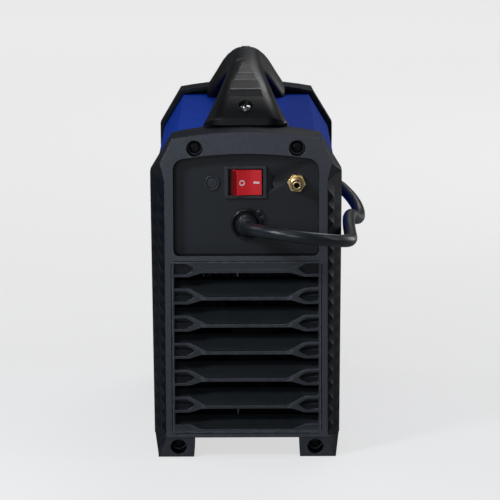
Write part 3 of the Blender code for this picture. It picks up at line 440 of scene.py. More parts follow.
def merged(*parts):
    """Several bmeshes as one, each still its own shell."""
    whole = bmesh.new()
    for part in parts:
        mesh = bpy.data.meshes.new("part")
        part.to_mesh(mesh)
        part.free()
        whole.from_mesh(mesh)
        bpy.data.meshes.remove(mesh)
    return whole


def boolean(bm, tool, operation="DIFFERENCE"):
    """The exact Boolean of two bmeshes, as a new bmesh."""
    objects = [new_object("boolean", mesh_of(source, "boolean", 1.0)) for source in (bm, tool)]
    modifier = objects[0].modifiers.new("Cut", "BOOLEAN")
    modifier.operation, modifier.solver, modifier.object = operation, "EXACT", objects[1]
    result = bmesh.new()
    result.from_object(objects[0], bpy.context.evaluated_depsgraph_get())
    for obj in objects:
        mesh = obj.data
        bpy.data.objects.remove(obj)
        bpy.data.meshes.remove(mesh)
    return result


def smooth_path(points, spacing):
    """Points at an even spacing along a Catmull-Rom curve through the given points, and its length."""
    knots = [Vector(p) for p in points]
    knots = [2 * knots[0] - knots[1]] + knots + [2 * knots[-1] - knots[-2]]
    fine = []
    for before, here, there, after in zip(knots, knots[1:], knots[2:], knots[3:]):
        for step in range(20):
            t = step / 20
            fine.append(0.5 * (
                2 * here + (there - before) * t
                + (2 * before - 5 * here + 4 * there - after) * t ** 2
                + (3 * here - before - 3 * there + after) * t ** 3
            ))
    fine.append(knots[-2])
    lengths = [0.0]
    for a, b in zip(fine, fine[1:]):
        lengths.append(lengths[-1] + (b - a).length)
    count = max(2, round(lengths[-1] / spacing))
    even, index = [], 0
    for step in range(count + 1):
        wanted = lengths[-1] * step / count
        while index < len(fine) - 2 and lengths[index + 1] < wanted:
            index += 1
        share = (wanted - lengths[index]) / max(lengths[index + 1] - lengths[index], 1e-9)
        even.append(fine[index].lerp(fine[index + 1], min(max(share, 0.0), 1.0)))
    return even, lengths[-1]


def rod(points, radius, sides=8):
    """A thin tube along points, closed at both ends."""
    points = [Vector(p) for p in points]
    loops = []
    for i, point in enumerate(points):
        ahead = (points[min(i + 1, len(points) - 1)] - points[max(i - 1, 0)]).normalized()
        side = ahead.cross(Vector((0, 0, 1)))
        if side.length < 0.1:
            side = ahead.cross(Vector((1, 0, 0)))
        side.normalize()
        up = side.cross(ahead)
        loops.append([point + (side * math.cos(a) + up * math.sin(a)) * radius for a in angles(sides)])
    return loft(loops)


# ---------- camera, stage and lights

def camera():
    data = bpy.data.cameras.new("camera")
    data.lens = CAMERA_LENS
    data.sensor_width = 36.0
    data.clip_start, data.clip_end = 0.05, 50.0
    obj = new_object("camera", data)
    angle = math.radians(CAMERA_ELEVATION)
    back = Vector((0.0, math.cos(angle), math.sin(angle)))
    obj.location = (CAMERA_TARGET + back * CAMERA_DISTANCE) * MM
    level = (-back).to_track_quat("-Z", "Y").to_matrix()
    obj.rotation_euler = (level @ Matrix.Rotation(math.radians(CAMERA_ROLL), 3, "Z")).to_euler()
    bpy.context.scene.camera = obj


def softbox(name, place, size, power, colour, aim):
    data = bpy.data.lights.new(name, "AREA")
    data.shape = "RECTANGLE"
    data.size, data.size_y = size
    data.energy = power
    data.color = colour
    obj = new_object(name, data)
    obj.location = Vector(place) * MM
    obj.rotation_euler = (Vector(aim) - Vector(place)).to_track_quat("-Z", "Y").to_euler()


def background():
    """A pale background for the camera, and a faint cool light for everything else."""
    world = bpy.data.worlds.new("studio")
    world.use_nodes = True
    nodes, links = world.node_tree.nodes, world.node_tree.links
    seen, ambient = nodes["Background"], nodes.new("ShaderNodeBackground")
    seen.inputs["Color"].default_value = (*SKY_TONE, 1.0)
    ambient.inputs["Color"].default_value = (*AMBIENT_TONE, 1.0)
    ambient.inputs["Strength"].default_value = AMBIENT
    mix, path = nodes.new("ShaderNodeMixShader"), nodes.new("ShaderNodeLightPath")
    links.new(path.outputs["Is Camera Ray"], mix.inputs[0])
    links.new(ambient.outputs[0], mix.inputs[1])
    links.new(seen.outputs[0], mix.inputs[2])
    links.new(mix.outputs[0], nodes["World Output"].inputs["Surface"])
    bpy.context.scene.world = world


def floor_material():
    """A matt floor that glows for the camera, less near the object, a painted shade round its base that also
    offsets the lamps' falloff, and more with distance, so that it runs into the background.
    """
    material = bpy.data.materials.new("studio_floor")
    material.use_nodes = True
    nodes, links = material.node_tree.nodes, material.node_tree.links
    shader = nodes["Principled BSDF"]
    shader.inputs["Base Color"].default_value = (FLOOR_TONE, FLOOR_TONE, FLOOR_TONE, 1.0)
    shader.inputs["Roughness"].default_value = 0.9
    shader.inputs["Specular IOR Level"].default_value = 0.0
    shader.inputs["Emission Color"].default_value = (*WHITE, 1.0)
    reach = nodes.new("ShaderNodeVectorMath")
    reach.operation = "LENGTH"
    links.new(nodes.new("ShaderNodeTexCoord").outputs["Object"], reach.inputs[0])
    # Less glow near the object: painted shade round its base.
    far = remap(nodes, links, reach.outputs["Value"], *FLOOR_GLOW_REACH, FLOOR_GLOW, FLOOR_FAR_GLOW)
    seen = nodes.new("ShaderNodeLightPath").outputs["Is Camera Ray"]
    glow = remap(nodes, links, seen, 0.0, 1.0, FLOOR_BOUNCE, 1.0)
    links.new(far, glow.node.inputs["To Max"])
    links.new(glow, shader.inputs["Emission Strength"])
    grain, bump = nodes.new("ShaderNodeTexNoise"), nodes.new("ShaderNodeBump")
    grain.inputs["Scale"].default_value = 300.0
    bump.inputs["Distance"].default_value = 0.0001
    links.new(grain.outputs["Fac"], bump.inputs["Height"])
    links.new(bump.outputs["Normal"], shader.inputs["Normal"])
    return material


def studio():
    """A pale seamless floor and background, and the softboxes."""
    background()
    bpy.context.scene.view_settings.view_transform = "Standard"
    bm = bmesh.new()
    bmesh.ops.create_circle(bm, cap_ends=True, segments=96, radius=FLOOR_RADIUS)
    mesh = bpy.data.meshes.new("floor")
    bm.to_mesh(mesh)
    bm.free()
    mesh.materials.append(floor_material())
    floor = new_object("floor", mesh)
    floor.location.z = -FLOOR_DROP
    for name, settings in SOFTBOXES.items():
        softbox(name, *settings)


# ---------- mains cord

def coil_points():
    """Two flat layers: the lower one winds inwards, the cord climbs inside, the upper one winds out again."""
    inner, outer = COIL_RADII
    climb_start, climb_end = COIL_CLIMB
    points = []
    for step in range(COIL_TURNS * COIL_POINTS_PER_TURN + 1):
        turn = step / COIL_POINTS_PER_TURN
        rise = min(max((turn - climb_start) / (climb_end - climb_start), 0.0), 1.0)
        if turn < climb_start:
            radius = outer + (inner - outer) * turn / climb_start
        elif turn < climb_end:
            radius = inner - math.sin(math.pi * rise)
        else:
            radius = inner + (outer - inner) * (turn - climb_end) / (COIL_TURNS - climb_end)
        height = COIL_LAYERS[0] + (COIL_LAYERS[1] - COIL_LAYERS[0]) * rise * rise * (3 - 2 * rise)
        angle = math.pi + math.tau * turn
        across, along = radius * math.cos(angle), radius * math.sin(angle)
        points.append((COIL_CENTRE[0] + across, COIL_CENTRE[1] + along, height))
    return points


def mains_cord():
    path, length = smooth_path(CORD_ROUTE + coil_points() + TAIL_ROUTE, CORD_SPACING)
    curve = bpy.data.curves.new("mains_cord_whole", "CURVE")
    curve.dimensions = "3D"
    curve.bevel_depth = CORD_DIAMETER / 2 * MM
    curve.bevel_resolution = 6
    curve.use_fill_caps = True
    spline = curve.splines.new("POLY")
    spline.points.add(len(path) - 1)
    for point, place in zip(spline.points, path):
        point.co = (*(place * MM), 1.0)
    spline.use_smooth = True
    curve.materials.append(RUBBER)
    cord = new_object("mains_cord_whole", curve)
    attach(cord, "housing")
    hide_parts("mains_cord", "mains_cord_coil", "mains_cord_tail")
    plug, tie = mains_plug(), coil_tie()


def mains_plug():
    """A moulded two-pin plug with a ribbed strain relief."""
    tilt = math.radians(PLUG_TILT)
    along = Vector((math.cos(tilt), 0.0, math.sin(tilt)))
    profile = [
        (0, 58), (15.2, 58), (17.6, 57.2), (18.9, 55.2), (19.3, 52), (19.3, 41), (18.4, 37.5), (16.0, 33),
        (12.6, 28.4), (9.8, 24),
    ]
    for rib in range(6):
        top, radius = 22.6 - 3.6 * rib, 8.6 - 0.42 * rib
        profile += [(radius, top), (radius, top - 2.0), (radius - 1.3, top - 2.5), (radius - 1.3, top - 3.3)]
    profile += [(5.4, 0.4), (0, 0.4)]
    shell = turned(profile, PLUG_START, along)
    plug = add("mains_plug_body", shell, RUBBER, nodes=("mains_plug",), bevel=0.3, sharp=40.0)
    pin = [(0, 19.5), (1.3, 19.4), (2.1, 18.4), (2.35, 17.0), (2.35, 8.0), (2.1, 7.8), (2.1, -1), (0, -1)]
    roots = [PLUG_START + along * PLUG_FACE + Vector((0.0, hand * PIN_OFFSET, 0.0)) for hand in SIDES]
    pins = merged(*[turned(pin, root, along, 24) for root in roots])
    pins = add("mains_plug_pins", pins, ZINC, slot="zinc_steel")
    pins.parent = plug
    return plug


def coil_tie():
    """A hook-and-loop strap round all the turns of the coil."""
    inner, outer = COIL_RADII[0] - 5.4, COIL_RADII[1] + 5.4
    low, high = 0.1, COIL_LAYERS[1] + 5.2
    middle_y, middle_z = (inner + outer) / 2, (low + high) / 2
    half_y, half_z = (outer - inner) / 2, (high - low) / 2
    loops = []
    for share, shrink in ((-1.0, 0.35), (-14 / 15, 0.0), (14 / 15, 0.0), (1.0, 0.35)):
        loop = []
        for angle in angles(48):
            c, s = math.cos(angle), math.sin(angle)
            spread = (abs(c) ** 5 + abs(s) ** 5) ** -0.2
            y, z = (half_y - shrink) * c * spread, (half_z - shrink) * s * spread
            loop.append((share * TIE_WIDTH / 2, middle_y + y, middle_z + z))
        loops.append(loop)
    inside = [
        [(x, middle_y + (y - middle_y) * 0.94, middle_z + (z - middle_z) * 0.92) for x, y, z in loop]
        for loop in reversed(loops[1:3])
    ]
    strap = placed(loft(loops + inside, closed=True), swung((*COIL_CENTRE, 0.0), TIE_TURN, "Z"))
    return add("coil_tie", strap, STRAP, slot="rubber")


# ---------- end frames

SHADED_FACETS_BEHIND_Y = 164.4
SHADED_FACETS_PAST_X = 61.2


def end_frame(node):
    """A frame with rounded edges: grained faces, and painted shade, a darker copy of its plastic, on its bevels
    and inward-facing faces.
    """
    mesh = refined(node, MATT, 0.35, sharp=35.0).data
    mesh.set_sharp_from_angle(angle=math.radians(7))
    mesh.materials.append(SHADED_FACETS)
    for face in mesh.polygons:
        centre = face.center / MM
        inward = face.normal.y * centre.y < 0
        on_bevel = abs(centre.x) > SHADED_FACETS_PAST_X or abs(face.normal.y) < 0.9
        # Faces off the main end face take the darker copy: painted shade.
        if abs(centre.y) < SHADED_FACETS_BEHIND_Y and (on_bevel or inward):
            face.material_index = 1


def recessed_screw(node, head, direction, height, shank, paint, slots=((20.0, 0.45), (110.0, 0.45))):
    """A domed screw head with slots of this (turn, half-width), and its shank."""
    radius = 4.4
    dome = [
        (0, 0), (radius * 0.35, -0.03), (radius * 0.7, -0.22), (radius * 0.93, -0.75), (radius, -1.3),
        (radius, -height + 0.3), (radius - 0.3, -height), (2.0, -height), (2.0, -height - shank),
        (0, -height - shank),
    ]
    screw = turned(dome, head, direction, 40)
    for spin, half in slots:
        reach = radius * (0.62 if half < 0.5 else 1.1)
        place = along_axis(head, direction) @ swung((0, 0, 0), spin, "Z")
        screw = boolean(screw, placed(box((-reach, -half, -1.7), (reach, half, 1.0)), place))
    add(f"{node}_head", screw, paint, nodes=(node,), bevel=0.12, sharp=40.0)


def frame_screws():
    for label, side in reversed(ENDS):
        for hand, hand_name in zip(SIDES, ("left", "right")):
            for level, (x, z), depth in FRAME_SCREWS:
                head = (hand * x, side * depth, z)
                recessed_screw(
                    f"{label}_frame_screw_{level}_{hand_name}", head, (0, side, 0), 2.8, 16.0, DARK_SCREW
                )
    for label, side in ENDS:
        head = (0, side * HANDLE_SCREW[0], HANDLE_SCREW[1])
        recessed_screw(f"handle_screw_{label}", head, (0, 0, 1), 8.4, 4.6, ZINC, slots=((90.0, 0.6),))


# ---------- handle

# Half of a cross-section, as shares of its half-width and of its thickness from the top.
LOWER_EDGE = ((1.0, 0.70), (0.985, 0.83), (0.95, 0.92), (0.89, 0.98), (0.83, 1.0), (0.76, 1.0), (0.73, 0.98))
ROUND_TOP = (
    (0.0, 0.0), (0.22, 0.006), (0.42, 0.026), (0.58, 0.06), (0.71, 0.11), (0.82, 0.18), (0.90, 0.28),
    (0.96, 0.41), (0.99, 0.55), *LOWER_EDGE,
)
FLAT_TOP = (
    (0.0, 0.0), (0.30, 0.0), (0.50, 0.0), (0.60, 0.006), (0.70, 0.03), (0.80, 0.09), (0.89, 0.20),
    (0.955, 0.35), (0.99, 0.52), *LOWER_EDGE,
)
LEG_BASE = ((141.4, 241.3), (105.2, 241.3))
LEG_HOLLOW = 0.63
HANDLE_STATIONS = 96
RIB_ANGLES = (36.0, 41.0, 46.0, 51.0, 56.0, 61.0)

# Thumb rests: the y of each step and its half-width. A plate's profile is (share of its run, height).
STEPS = ((61.0, 3.3), (72.0, 4.7), (84.8, 6.6), (97.0, 9.1), (111.5, 11.6), (123.0, 14.0))
PLATE_RUN = 0.86
PLATE_SPREAD = 0.72
PLATE_PROFILE = ((0.0, 0.2), (0.05, 0.85), (0.12, 0.80), (0.35, 0.45), (0.65, 0.2), (1.0, -0.1))
ARC_LINE_HALF = 9.0


def handle_width(angle):
    share = abs(angle) / HANDLE_END_ANGLE
    return GRIP_HALF + (LEG_HALF - GRIP_HALF) * share ** 1.8


def handle_point(ellipse, angle):
    reach, base, rise = ellipse
    radians = math.radians(angle)
    return Vector((0.0, reach * math.sin(radians), base + rise * math.cos(radians)))


def hollow_depth(angle):
    """The share of the handle's thickness that is hollow from below: none at the grip, most in the legs."""
    share = min(max((abs(angle) - 27.0) / 7.0, 0.0), 1.0)
    return 0.03 + 0.60 * share * share * (3 - 2 * share)


def handle_section(outer, inner, half, depth, flatness):
    """One cross-section: round on top at the grip, flat on top at the legs, open below where it is hollow."""
    across = [(a + (c - a) * flatness, b + (d - b) * flatness) for (a, b), (c, d) in zip(ROUND_TOP, FLAT_TOP)]
    across += [(0.70, 1.0 - depth), (0.0, 1.0 - depth)]
    loop = across + [(-a, b) for a, b in reversed(across[1:-1])]
    return [outer.lerp(inner, b) + Vector((a * half, 0, 0)) for a, b in loop]


def handle_loops():
    loops = []
    for station in range(HANDLE_STATIONS + 1):
        angle = HANDLE_END_ANGLE * (2 * station / HANDLE_STATIONS - 1)
        flatness = min(max((abs(angle) - 28.0) / 14.0, 0.0), 1.0)
        outer, inner = handle_point(HANDLE_OUTER, angle), handle_point(HANDLE_INNER, angle)
        loops.append(handle_section(outer, inner, handle_width(angle), hollow_depth(angle), flatness))
    ends = []
    for side in SIDES:
        outer, inner = (Vector((0, side * y, z)) for y, z in LEG_BASE)
        ends.append(handle_section(outer, inner, LEG_HALF, LEG_HOLLOW, 1.0))
    return [ends[0], *loops, ends[1]]


def handle():
    grip = loft(handle_loops())
    for side in SIDES:
        near, far = sorted((side * 126.7, side * 150))
        y = side * HANDLE_SCREW[0]
        grip = boolean(grip, box((-40, near, 238), (40, far, 250.4)))
        grip = boolean(grip, cylinder((0, y, 255.6), (0, y, 300), 5.2))
    add("handle_shell", grip, GRIP, nodes=("handle",), bevel=0.4, segments=3, sharp=38.0)
    for label, side in ENDS:
        handle_ribs(label, side)
    for label, side in ENDS:
        handle_steps(label, side)
    for label, side in ENDS:
        handle_arc_line(label, side)


def handle_ribs(label, side):
    """Cross ribs in the hollow underside of a leg."""
    ribs = []
    for angle in RIB_ANGLES:
        loops = []
        for a in (side * (angle - 0.55), side * (angle + 0.55)):
            outer, inner = handle_point(HANDLE_OUTER, a), handle_point(HANDLE_INNER, a)
            half = handle_width(a) * 0.735
            low, high = 1.02 - hollow_depth(a), 0.985
            corners = ((-1, low), (1, low), (1, high), (-1, high))
            loops.append([outer.lerp(inner, b) + Vector((x * half, 0, 0)) for x, b in corners])
        ribs.append(loft(loops))
    add(f"handle_ribs_{label}", merged(*ribs), RIB, slot="frame_plastic", bevel=0.25)


def slope_point(side, y, x, proud):
    """A point that stands proud of the handle's outer arch, at y on this side."""
    reach, base, rise = HANDLE_OUTER
    angle = math.asin(y / reach)
    normal = Vector((0.0, math.sin(angle) / reach, math.cos(angle) / rise)).normalized()
    point = Vector((x, y, base + rise * math.cos(angle))) + normal * proud
    return Vector((point.x, side * point.y, point.z))


def handle_steps(label, side):
    """Stepped thumb rests: each plate stands proud at its upper end and runs out flush at the next one."""
    plates, ledge_highlights = [], []
    for (top_y, top_half), (next_y, next_half) in zip(STEPS, STEPS[1:]):
        loops = []
        for share, proud in PLATE_PROFILE:
            y = top_y + share * PLATE_RUN * (next_y - top_y)
            half = top_half + share * PLATE_SPREAD * (next_half - top_half)
            corners = ((-half - 0.25, -0.5), (-half, proud), (half, proud), (half + 0.25, -0.5))
            loops.append([slope_point(side, y, x, up) for x, up in corners])
        plates.append(loft(loops))
        # A light rod along the top of each step: a painted highlight line.
        ledge_highlights.append(rod([slope_point(side, top_y, hand * top_half, 1.0) for hand in SIDES], 0.30))
    add(f"handle_steps_{label}", merged(*plates), GRIP, slot="frame_plastic", bevel=0.12, sharp=50.0)
    add(f"handle_ledge_highlights_{label}", merged(*ledge_highlights), LEDGE_HIGHLIGHT, slot="frame_plastic")


def crown_drop(share):
    """How far the round top has fallen, as a share of the thickness, at this share of the half-width."""
    for (a, b), (c, d) in zip(ROUND_TOP, ROUND_TOP[1:]):
        if share <= c:
            return b + (d - b) * (share - a) / (c - a)
    return 1.0


def handle_arc_line(label, side):
    """A fine moulded arc where the grip begins, on a slope."""
    points = []
    for k in range(33):
        x = ARC_LINE_HALF * (k / 16 - 1)
        y = 41.0 + 9.0 * (x / ARC_LINE_HALF) ** 2
        points.append(slope_point(side, y, x, -0.12 - 19.5 * crown_drop(abs(x) / 13.2)))
    add(f"handle_line_{label}", rod(points, 0.32), STEP_EDGE, slot="frame_plastic")


# ---------- rear grille

GRILLE_HALF = 56.1
GRILLE_Z = (19.3, 151.0)
GRILLE_FACE_Y = (161.0, 165.4)
GRILLE_CUT_Y = (158.0, 168.0)
ROW_PITCH = 20.8
FIRST_BAR_Z = 143.7
ROWS = 6


def flat(outline, depths):
    """A plate with this (x, z) outline, between two depths along y."""
    return loft([[(x, y, z) for x, z in outline] for y in depths])


def mirrored(half):
    return half + [(-x, z) for x, z in reversed(half)]


def louvre_gap(bar_z):
    below = bar_z - ROW_PITCH
    inner, outer = (30.0, below + 1.4), (43.2, below + 7.9)
    if below < GRILLE_Z[0]:
        inner, outer = (34.8, 22.6), (43.7, 26.2)
    return mirrored([
        inner, outer, (54.0, outer[1]), (54.0, bar_z - 4.4), (43.7, bar_z - 4.4), (33.5, bar_z - 1.4),
    ])


def fork_pocket(bar_z, hand):
    low, high = bar_z - 2.2, bar_z + 5.6
    middle = (low + high) / 2
    points = [
        (54.0, low), (54.0, high), (45.6, high), (41.4, middle + 1.8), (39.4, middle), (41.4, middle - 1.8),
        (45.6, low),
    ]
    return [(hand * x, z) for x, z in points]


def louvre_blade(bar_z):
    """A slat that slopes out from deep behind the gap to the bar below, its ends turned out."""
    top_z = bar_z - 8.4
    low_z = max(bar_z - ROW_PITCH + 1.0, GRILLE_Z[0] + 1.7)
    stations = ((-55.2, 157.0, 163.4), (-36.0, 153.2, 162.2), (36.0, 153.2, 162.2), (55.2, 157.0, 163.4))
    return loft([
        [(x, deep - 1.6, top_z), (x, deep, top_z), (x, near, low_z), (x, near - 1.6, low_z)]
        for x, deep, near in stations
    ])


def rear_grille():
    edge, (low, high) = GRILLE_HALF, GRILLE_Z
    half = [(edge - 0.7, low), (edge, low + 0.7), (edge, high - 0.7), (edge - 0.7, high)]
    face = flat(mirrored(half), GRILLE_FACE_Y)
    blades, facets = [], []
    for row in range(ROWS):
        bar_z = FIRST_BAR_Z - ROW_PITCH * row
        face = boolean(face, flat(louvre_gap(bar_z), GRILLE_CUT_Y))
        blades.append(louvre_blade(bar_z))
        for hand in SIDES:
            face = boolean(face, flat(fork_pocket(bar_z, hand), GRILLE_CUT_Y))
            floor = ((54.4, bar_z - 2.6), (54.4, bar_z + 6.0), (39.0, bar_z + 6.0), (39.0, bar_z - 2.6))
            blades.append(flat([(hand * x, z) for x, z in floor], (159.6, 161.3)))
            # Lighter triangles where the bars meet the forks: painted highlight.
            if row:
                corners = ((29.6, bar_z - 1.1), (35.0, bar_z + 2.9), (33.7, bar_z - 1.1))
                facets.append(flat([(hand * x, z) for x, z in corners], (164.9, 165.62)))
    add("rear_grille_face", face, GRILLE, nodes=("rear_grille",), bevel=0.45, segments=3, sharp=40.0)
    add("rear_grille_blades", merged(*blades), SHADED_LOUVRE, slot="frame_plastic", bevel=0.3)
    add("rear_grille_lit_facets", merged(*facets), GRILLE_HIGHLIGHT, slot="frame_plastic", bevel=0.15)
    # Thin lighter rods round the rim and foot: painted highlight lines.
    rim = mirrored([(54.9, 21.2), (54.9, 149.2), (54.2, 150.1), (44.2, 150.1), (30.6, 144.9)])
    foot = mirrored([(-54.9, 21.9), (-54.0, 20.9)])
    lines = [rod([(x, GRILLE_FACE_Y[1], z) for x, z in path], 0.28) for path in (rim, foot)]
    add("rear_grille_highlight_lines", merged(*lines), GRILLE_HIGHLIGHT, slot="frame_plastic")


# ---------- rear fittings

# The rocker's outline before its tilt, as (distance across, distance out), and its ends' levels.
ROCKER_VALLEY = [(5.0, 6.05), (2.5, 5.65), (0.0, 5.5)]
ROCKER_RAISED = [(8.0, -4.6), (11.9, 1.6), (8.6, 6.9)]
ROCKER_PRESSED = [(8.0, -4.6), (11.4, 1.6), (10.4, 7.05)]
ROCKER_LEVELS = (-9.5, -8.0, 8.0, 9.5)


def rocker_place(across, out, up):
    """A point of the tilted rocker, by its place before the tilt."""
    spot = Matrix.Rotation(math.radians(ROCKER_TILT), 2) @ Vector((across, out))
    return Vector((SWITCH[0] - 0.8 + spot.x, ROCKER_PIVOT_Y + spot.y, SWITCH[1] + up))


def rocker_face(across, up, proud):
    """A point that stands proud of the rocker's two faces."""
    rise = 1.4 * (across / 8.6) ** 1.6 if across > 0 else 1.55 * (-across / 10.4) ** 1.35
    return rocker_place(across, 5.5 + rise + proud, up)


def power_rocker():
    """Two faces that meet in a shallow valley, with sloping ends, pressed on its -X side."""
    pressed = ROCKER_PRESSED + ROCKER_VALLEY[:-1]
    outline = ROCKER_RAISED + ROCKER_VALLEY + [(-a, b) for a, b in reversed(pressed)]
    loops = [[rocker_place(a, b, level) for a, b in outline] for level in ROCKER_LEVELS]
    cap = add("power_rocker_cap", loft(loops), RED, "rocker", ("power_rocker",), bevel=0.45, segments=3)
    # The steep end faces take the darker red: painted shade.
    cap.data.materials.append(RED_SHADED_SIDE)
    for face in cap.data.polygons:
        if abs(face.normal.x) > 0.6:
            face.material_index = 1
    section = ((1.2, -0.1), (1.2, 0.06), (2.2, 0.06), (2.2, -0.1))
    ring = [
        [rocker_face(4.6 + r * math.cos(a), r * math.sin(a), h) for r, h in section] for a in angles(40)
    ]
    section = ((-0.8, -0.3), (0.8, -0.3), (0.8, 0.12), (-0.8, 0.12))
    dash = [[rocker_face(a, u, h) for u, h in section] for a in (-8.4, -7.3, -6.2, -5.1, -4.1)]
    add("rocker_symbols", merged(loft(ring, closed=True), loft(dash)), ROCKER_INK, "rocker")


def gas_inlet():
    """A hexagon base, a collar, and a barbed hose tail with a bore."""
    x, z = INLET
    at, out = (x, PANEL_Y, z), (0, 1, 0)
    hexagon = placed(cylinder((0, 0.3, 0), (0, 4.8, 0), 7.1, segments=6), swung(at, 24.0, "Y"))
    crown = turned([(0, 12), (5.6, 12), (7.3, 4.2), (7.3, -2), (0, -2)], at, out)
    hexagon = boolean(hexagon, crown, "INTERSECT")
    tail = [
        (1.9, 9.0), (1.9, 16.4), (2.3, 17.0), (2.9, 17.0), (3.3, 16.7), (3.9, 15.6), (3.95, 14.9), (3.3, 14.1),
        (3.3, 13.6), (3.8, 12.7), (3.8, 12.1), (3.2, 11.3), (3.2, 10.2), (3.5, 9.6), (4.6, 9.2), (5.0, 8.7),
        (5.0, 7.8), (4.7, 7.5), (5.0, 7.2), (5.0, 6.4), (4.7, 6.1), (5.0, 5.8), (5.0, 3.0), (4.5, 3.0),
        (4.5, -8.0), (1.9, -8.0),
    ]
    body = merged(hexagon, turned(tail, at, out))
    add("gas_inlet_body", body, BRASS, nodes=("gas_inlet",), bevel=0.22, segments=3, sharp=35.0)
    # A black plug deep in the bore: painted shade, where the brass would show.
    add("gas_inlet_bore_shade", cylinder((x, 160.0, z), (x, 168.6, z), 1.88, segments=32), BLACK_AND_BORE_SHADE, slot="brass")


def blanking_plug():
    """A round blanking cap with a raised rim round a dished middle."""
    profile = [
        (0, 1.1), (3.4, 1.1), (3.7, 0.75), (4.15, 0.75), (4.4, 1.3), (4.7, 1.6), (5.3, 1.6), (5.6, 1.35),
        (5.8, 0.9), (5.8, 0.3), (4.5, 0.3), (4.5, -7.0), (0, -7.0),
    ]
    cap = turned(profile, (BLANK[0], PANEL_Y, BLANK[1]), (0, 1, 0))
    add("blanking_plug_cap", cap, PANEL_TRIM, nodes=("blanking_plug",), bevel=0.12, sharp=25.0)


def cable_gland():
    """A flanged gland: glossy rim, sunken ring, ribbed taper round the cord, and its locking tab."""
    at = (GLAND[0], PANEL_Y, GLAND[1])
    profile = [(0, 12.0), (5.6, 12.0), (6.1, 11.7)]
    for rib in range(4):
        top, radius = 11.0 - 1.9 * rib, 6.4 + 0.5 * rib
        profile += [
            (radius, top), (radius + 0.1, top - 1.0), (radius - 0.5, top - 1.2), (radius - 0.4, top - 1.6),
        ]
    profile += [
        (8.3, 2.6), (9.3, 1.8), (9.9, 2.6), (10.3, 3.7), (10.9, 4.2), (11.5, 4.0), (11.9, 3.3), (12.0, 2.4),
        (12.0, 0.3), (9.4, 0.3), (9.4, -12.0), (0, -12.0),
    ]
    tab = merged(
        box((-3.4, 0.3, 9.8), (-0.9, 3.3, 14.6)), box((0.9, 0.3, 9.8), (3.4, 3.3, 14.6)),
        box((-3.4, 0.3, 9.4), (3.4, 3.0, 11.6)),
    )
    body = merged(turned(profile, at, (0, 1, 0)), placed(tab, swung(at, -55.0, "Y")))
    add("cable_gland_body", body, SATIN, nodes=("cable_gland",), bevel=0.2, segments=3, sharp=34.0)


# ---------- front fittings

FRONT = (0, -1, 0)
KNOB_PROFILE = (
    (0.4, 13.2, 0.0), (1.0, 13.4, 0.0), (2.0, 13.3, 0.0), (3.2, 12.4, 0.0), (4.2, 12.1, 0.1), (5.2, 12.0, 0.55),
    (9.0, 11.85, 0.6), (14.0, 11.6, 0.6), (15.4, 11.3, 0.5), (16.4, 10.7, 0.2), (16.9, 9.9, 0.0),
    (17.0, 9.0, 0.0),
)
KNOB_FLUTES = 24


def ticks(name, x, z):
    """Printed marks on a ring round a knob."""
    marks = []
    for k in range(21):
        mark = box((-0.3, -154.12, 15.6), (0.3, -153.9, 17.25 if k % 2 else 18.6))
        marks.append(placed(mark, swung((x, 0, z), -140.0 + 14.0 * k, "Y")))
    add(name, merged(*marks), GREY_INK, slot="trim_plastic")


def knob(node, x, z, body):
    """A fluted cap on a skirt, with a white pointer; its profile is (depth, radius, flute depth)."""
    loops = []
    for depth, radius, flute in KNOB_PROFILE:
        loop = []
        for a in angles(6 * KNOB_FLUTES):
            reach = radius - flute * (0.5 + 0.5 * math.cos(KNOB_FLUTES * a)) ** 2
            loop.append((x + reach * math.cos(a), -PANEL_Y - depth, z + reach * math.sin(a)))
        loops.append(loop)
    shaft = cylinder((x, -PANEL_Y - 0.5, z), (x, -PANEL_Y + 8.0, z), 3.0)
    add(f"{node}_cap", merged(loft(loops), shaft), KNOB, body, (node,), sharp=50.0)
    pointer = merged(
        box((x - 0.7, -171.03, z + 1.5), (x + 0.7, -170.9, z + 9.6)),
        box((x - 0.6, -167.5, z + 11.0), (x + 0.6, -159.4, z + 12.25)),
    )
    add(f"{node}_pointer", pointer, INK, body, slot="trim_plastic")


def seven_segment(name, x, z):
    """One unlit digit: seven bars just proud of the lens."""
    width, height, stroke, gap = 5.6, 5.4, 1.1, 0.7
    lying = [(0, level * height, width / 2 - gap, stroke / 2) for level in (1, 0, -1)]
    standing = [
        (hand * width / 2, level * height / 2, stroke / 2, height / 2 - gap)
        for level in (1, -1) for hand in SIDES
    ]
    bars = [
        box((x + cx - a, -154.66, z + cz - b), (x + cx + a, -154.55, z + cz + b))
        for cx, cz, a, b in lying + standing
    ]
    add(name, merged(*bars), SEGMENT, slot="lens")


def push_button(node, x, body):
    """A domed button in a raised collar."""
    at = (x, -PANEL_Y, BUTTON_Z)
    cap = [(0, 3.1), (2.6, 3.15), (3.8, 3.4), (4.4, 3.35), (4.9, 3.0), (5.2, 2.4), (5.2, -5.0), (0, -5.0)]
    add(f"{node}_cap", turned(cap, at, FRONT), RED, body, (node,), bevel=0.1, sharp=40.0)
    collar = [(6.2, 1.2), (7.2, 1.2), (7.6, 0.8), (7.7, 0.1), (5.7, 0.1), (5.7, 0.8)]
    add(f"{node}_collar", turned(collar, at, FRONT), SATIN, slot="trim_plastic", bevel=0.1, sharp=40.0)


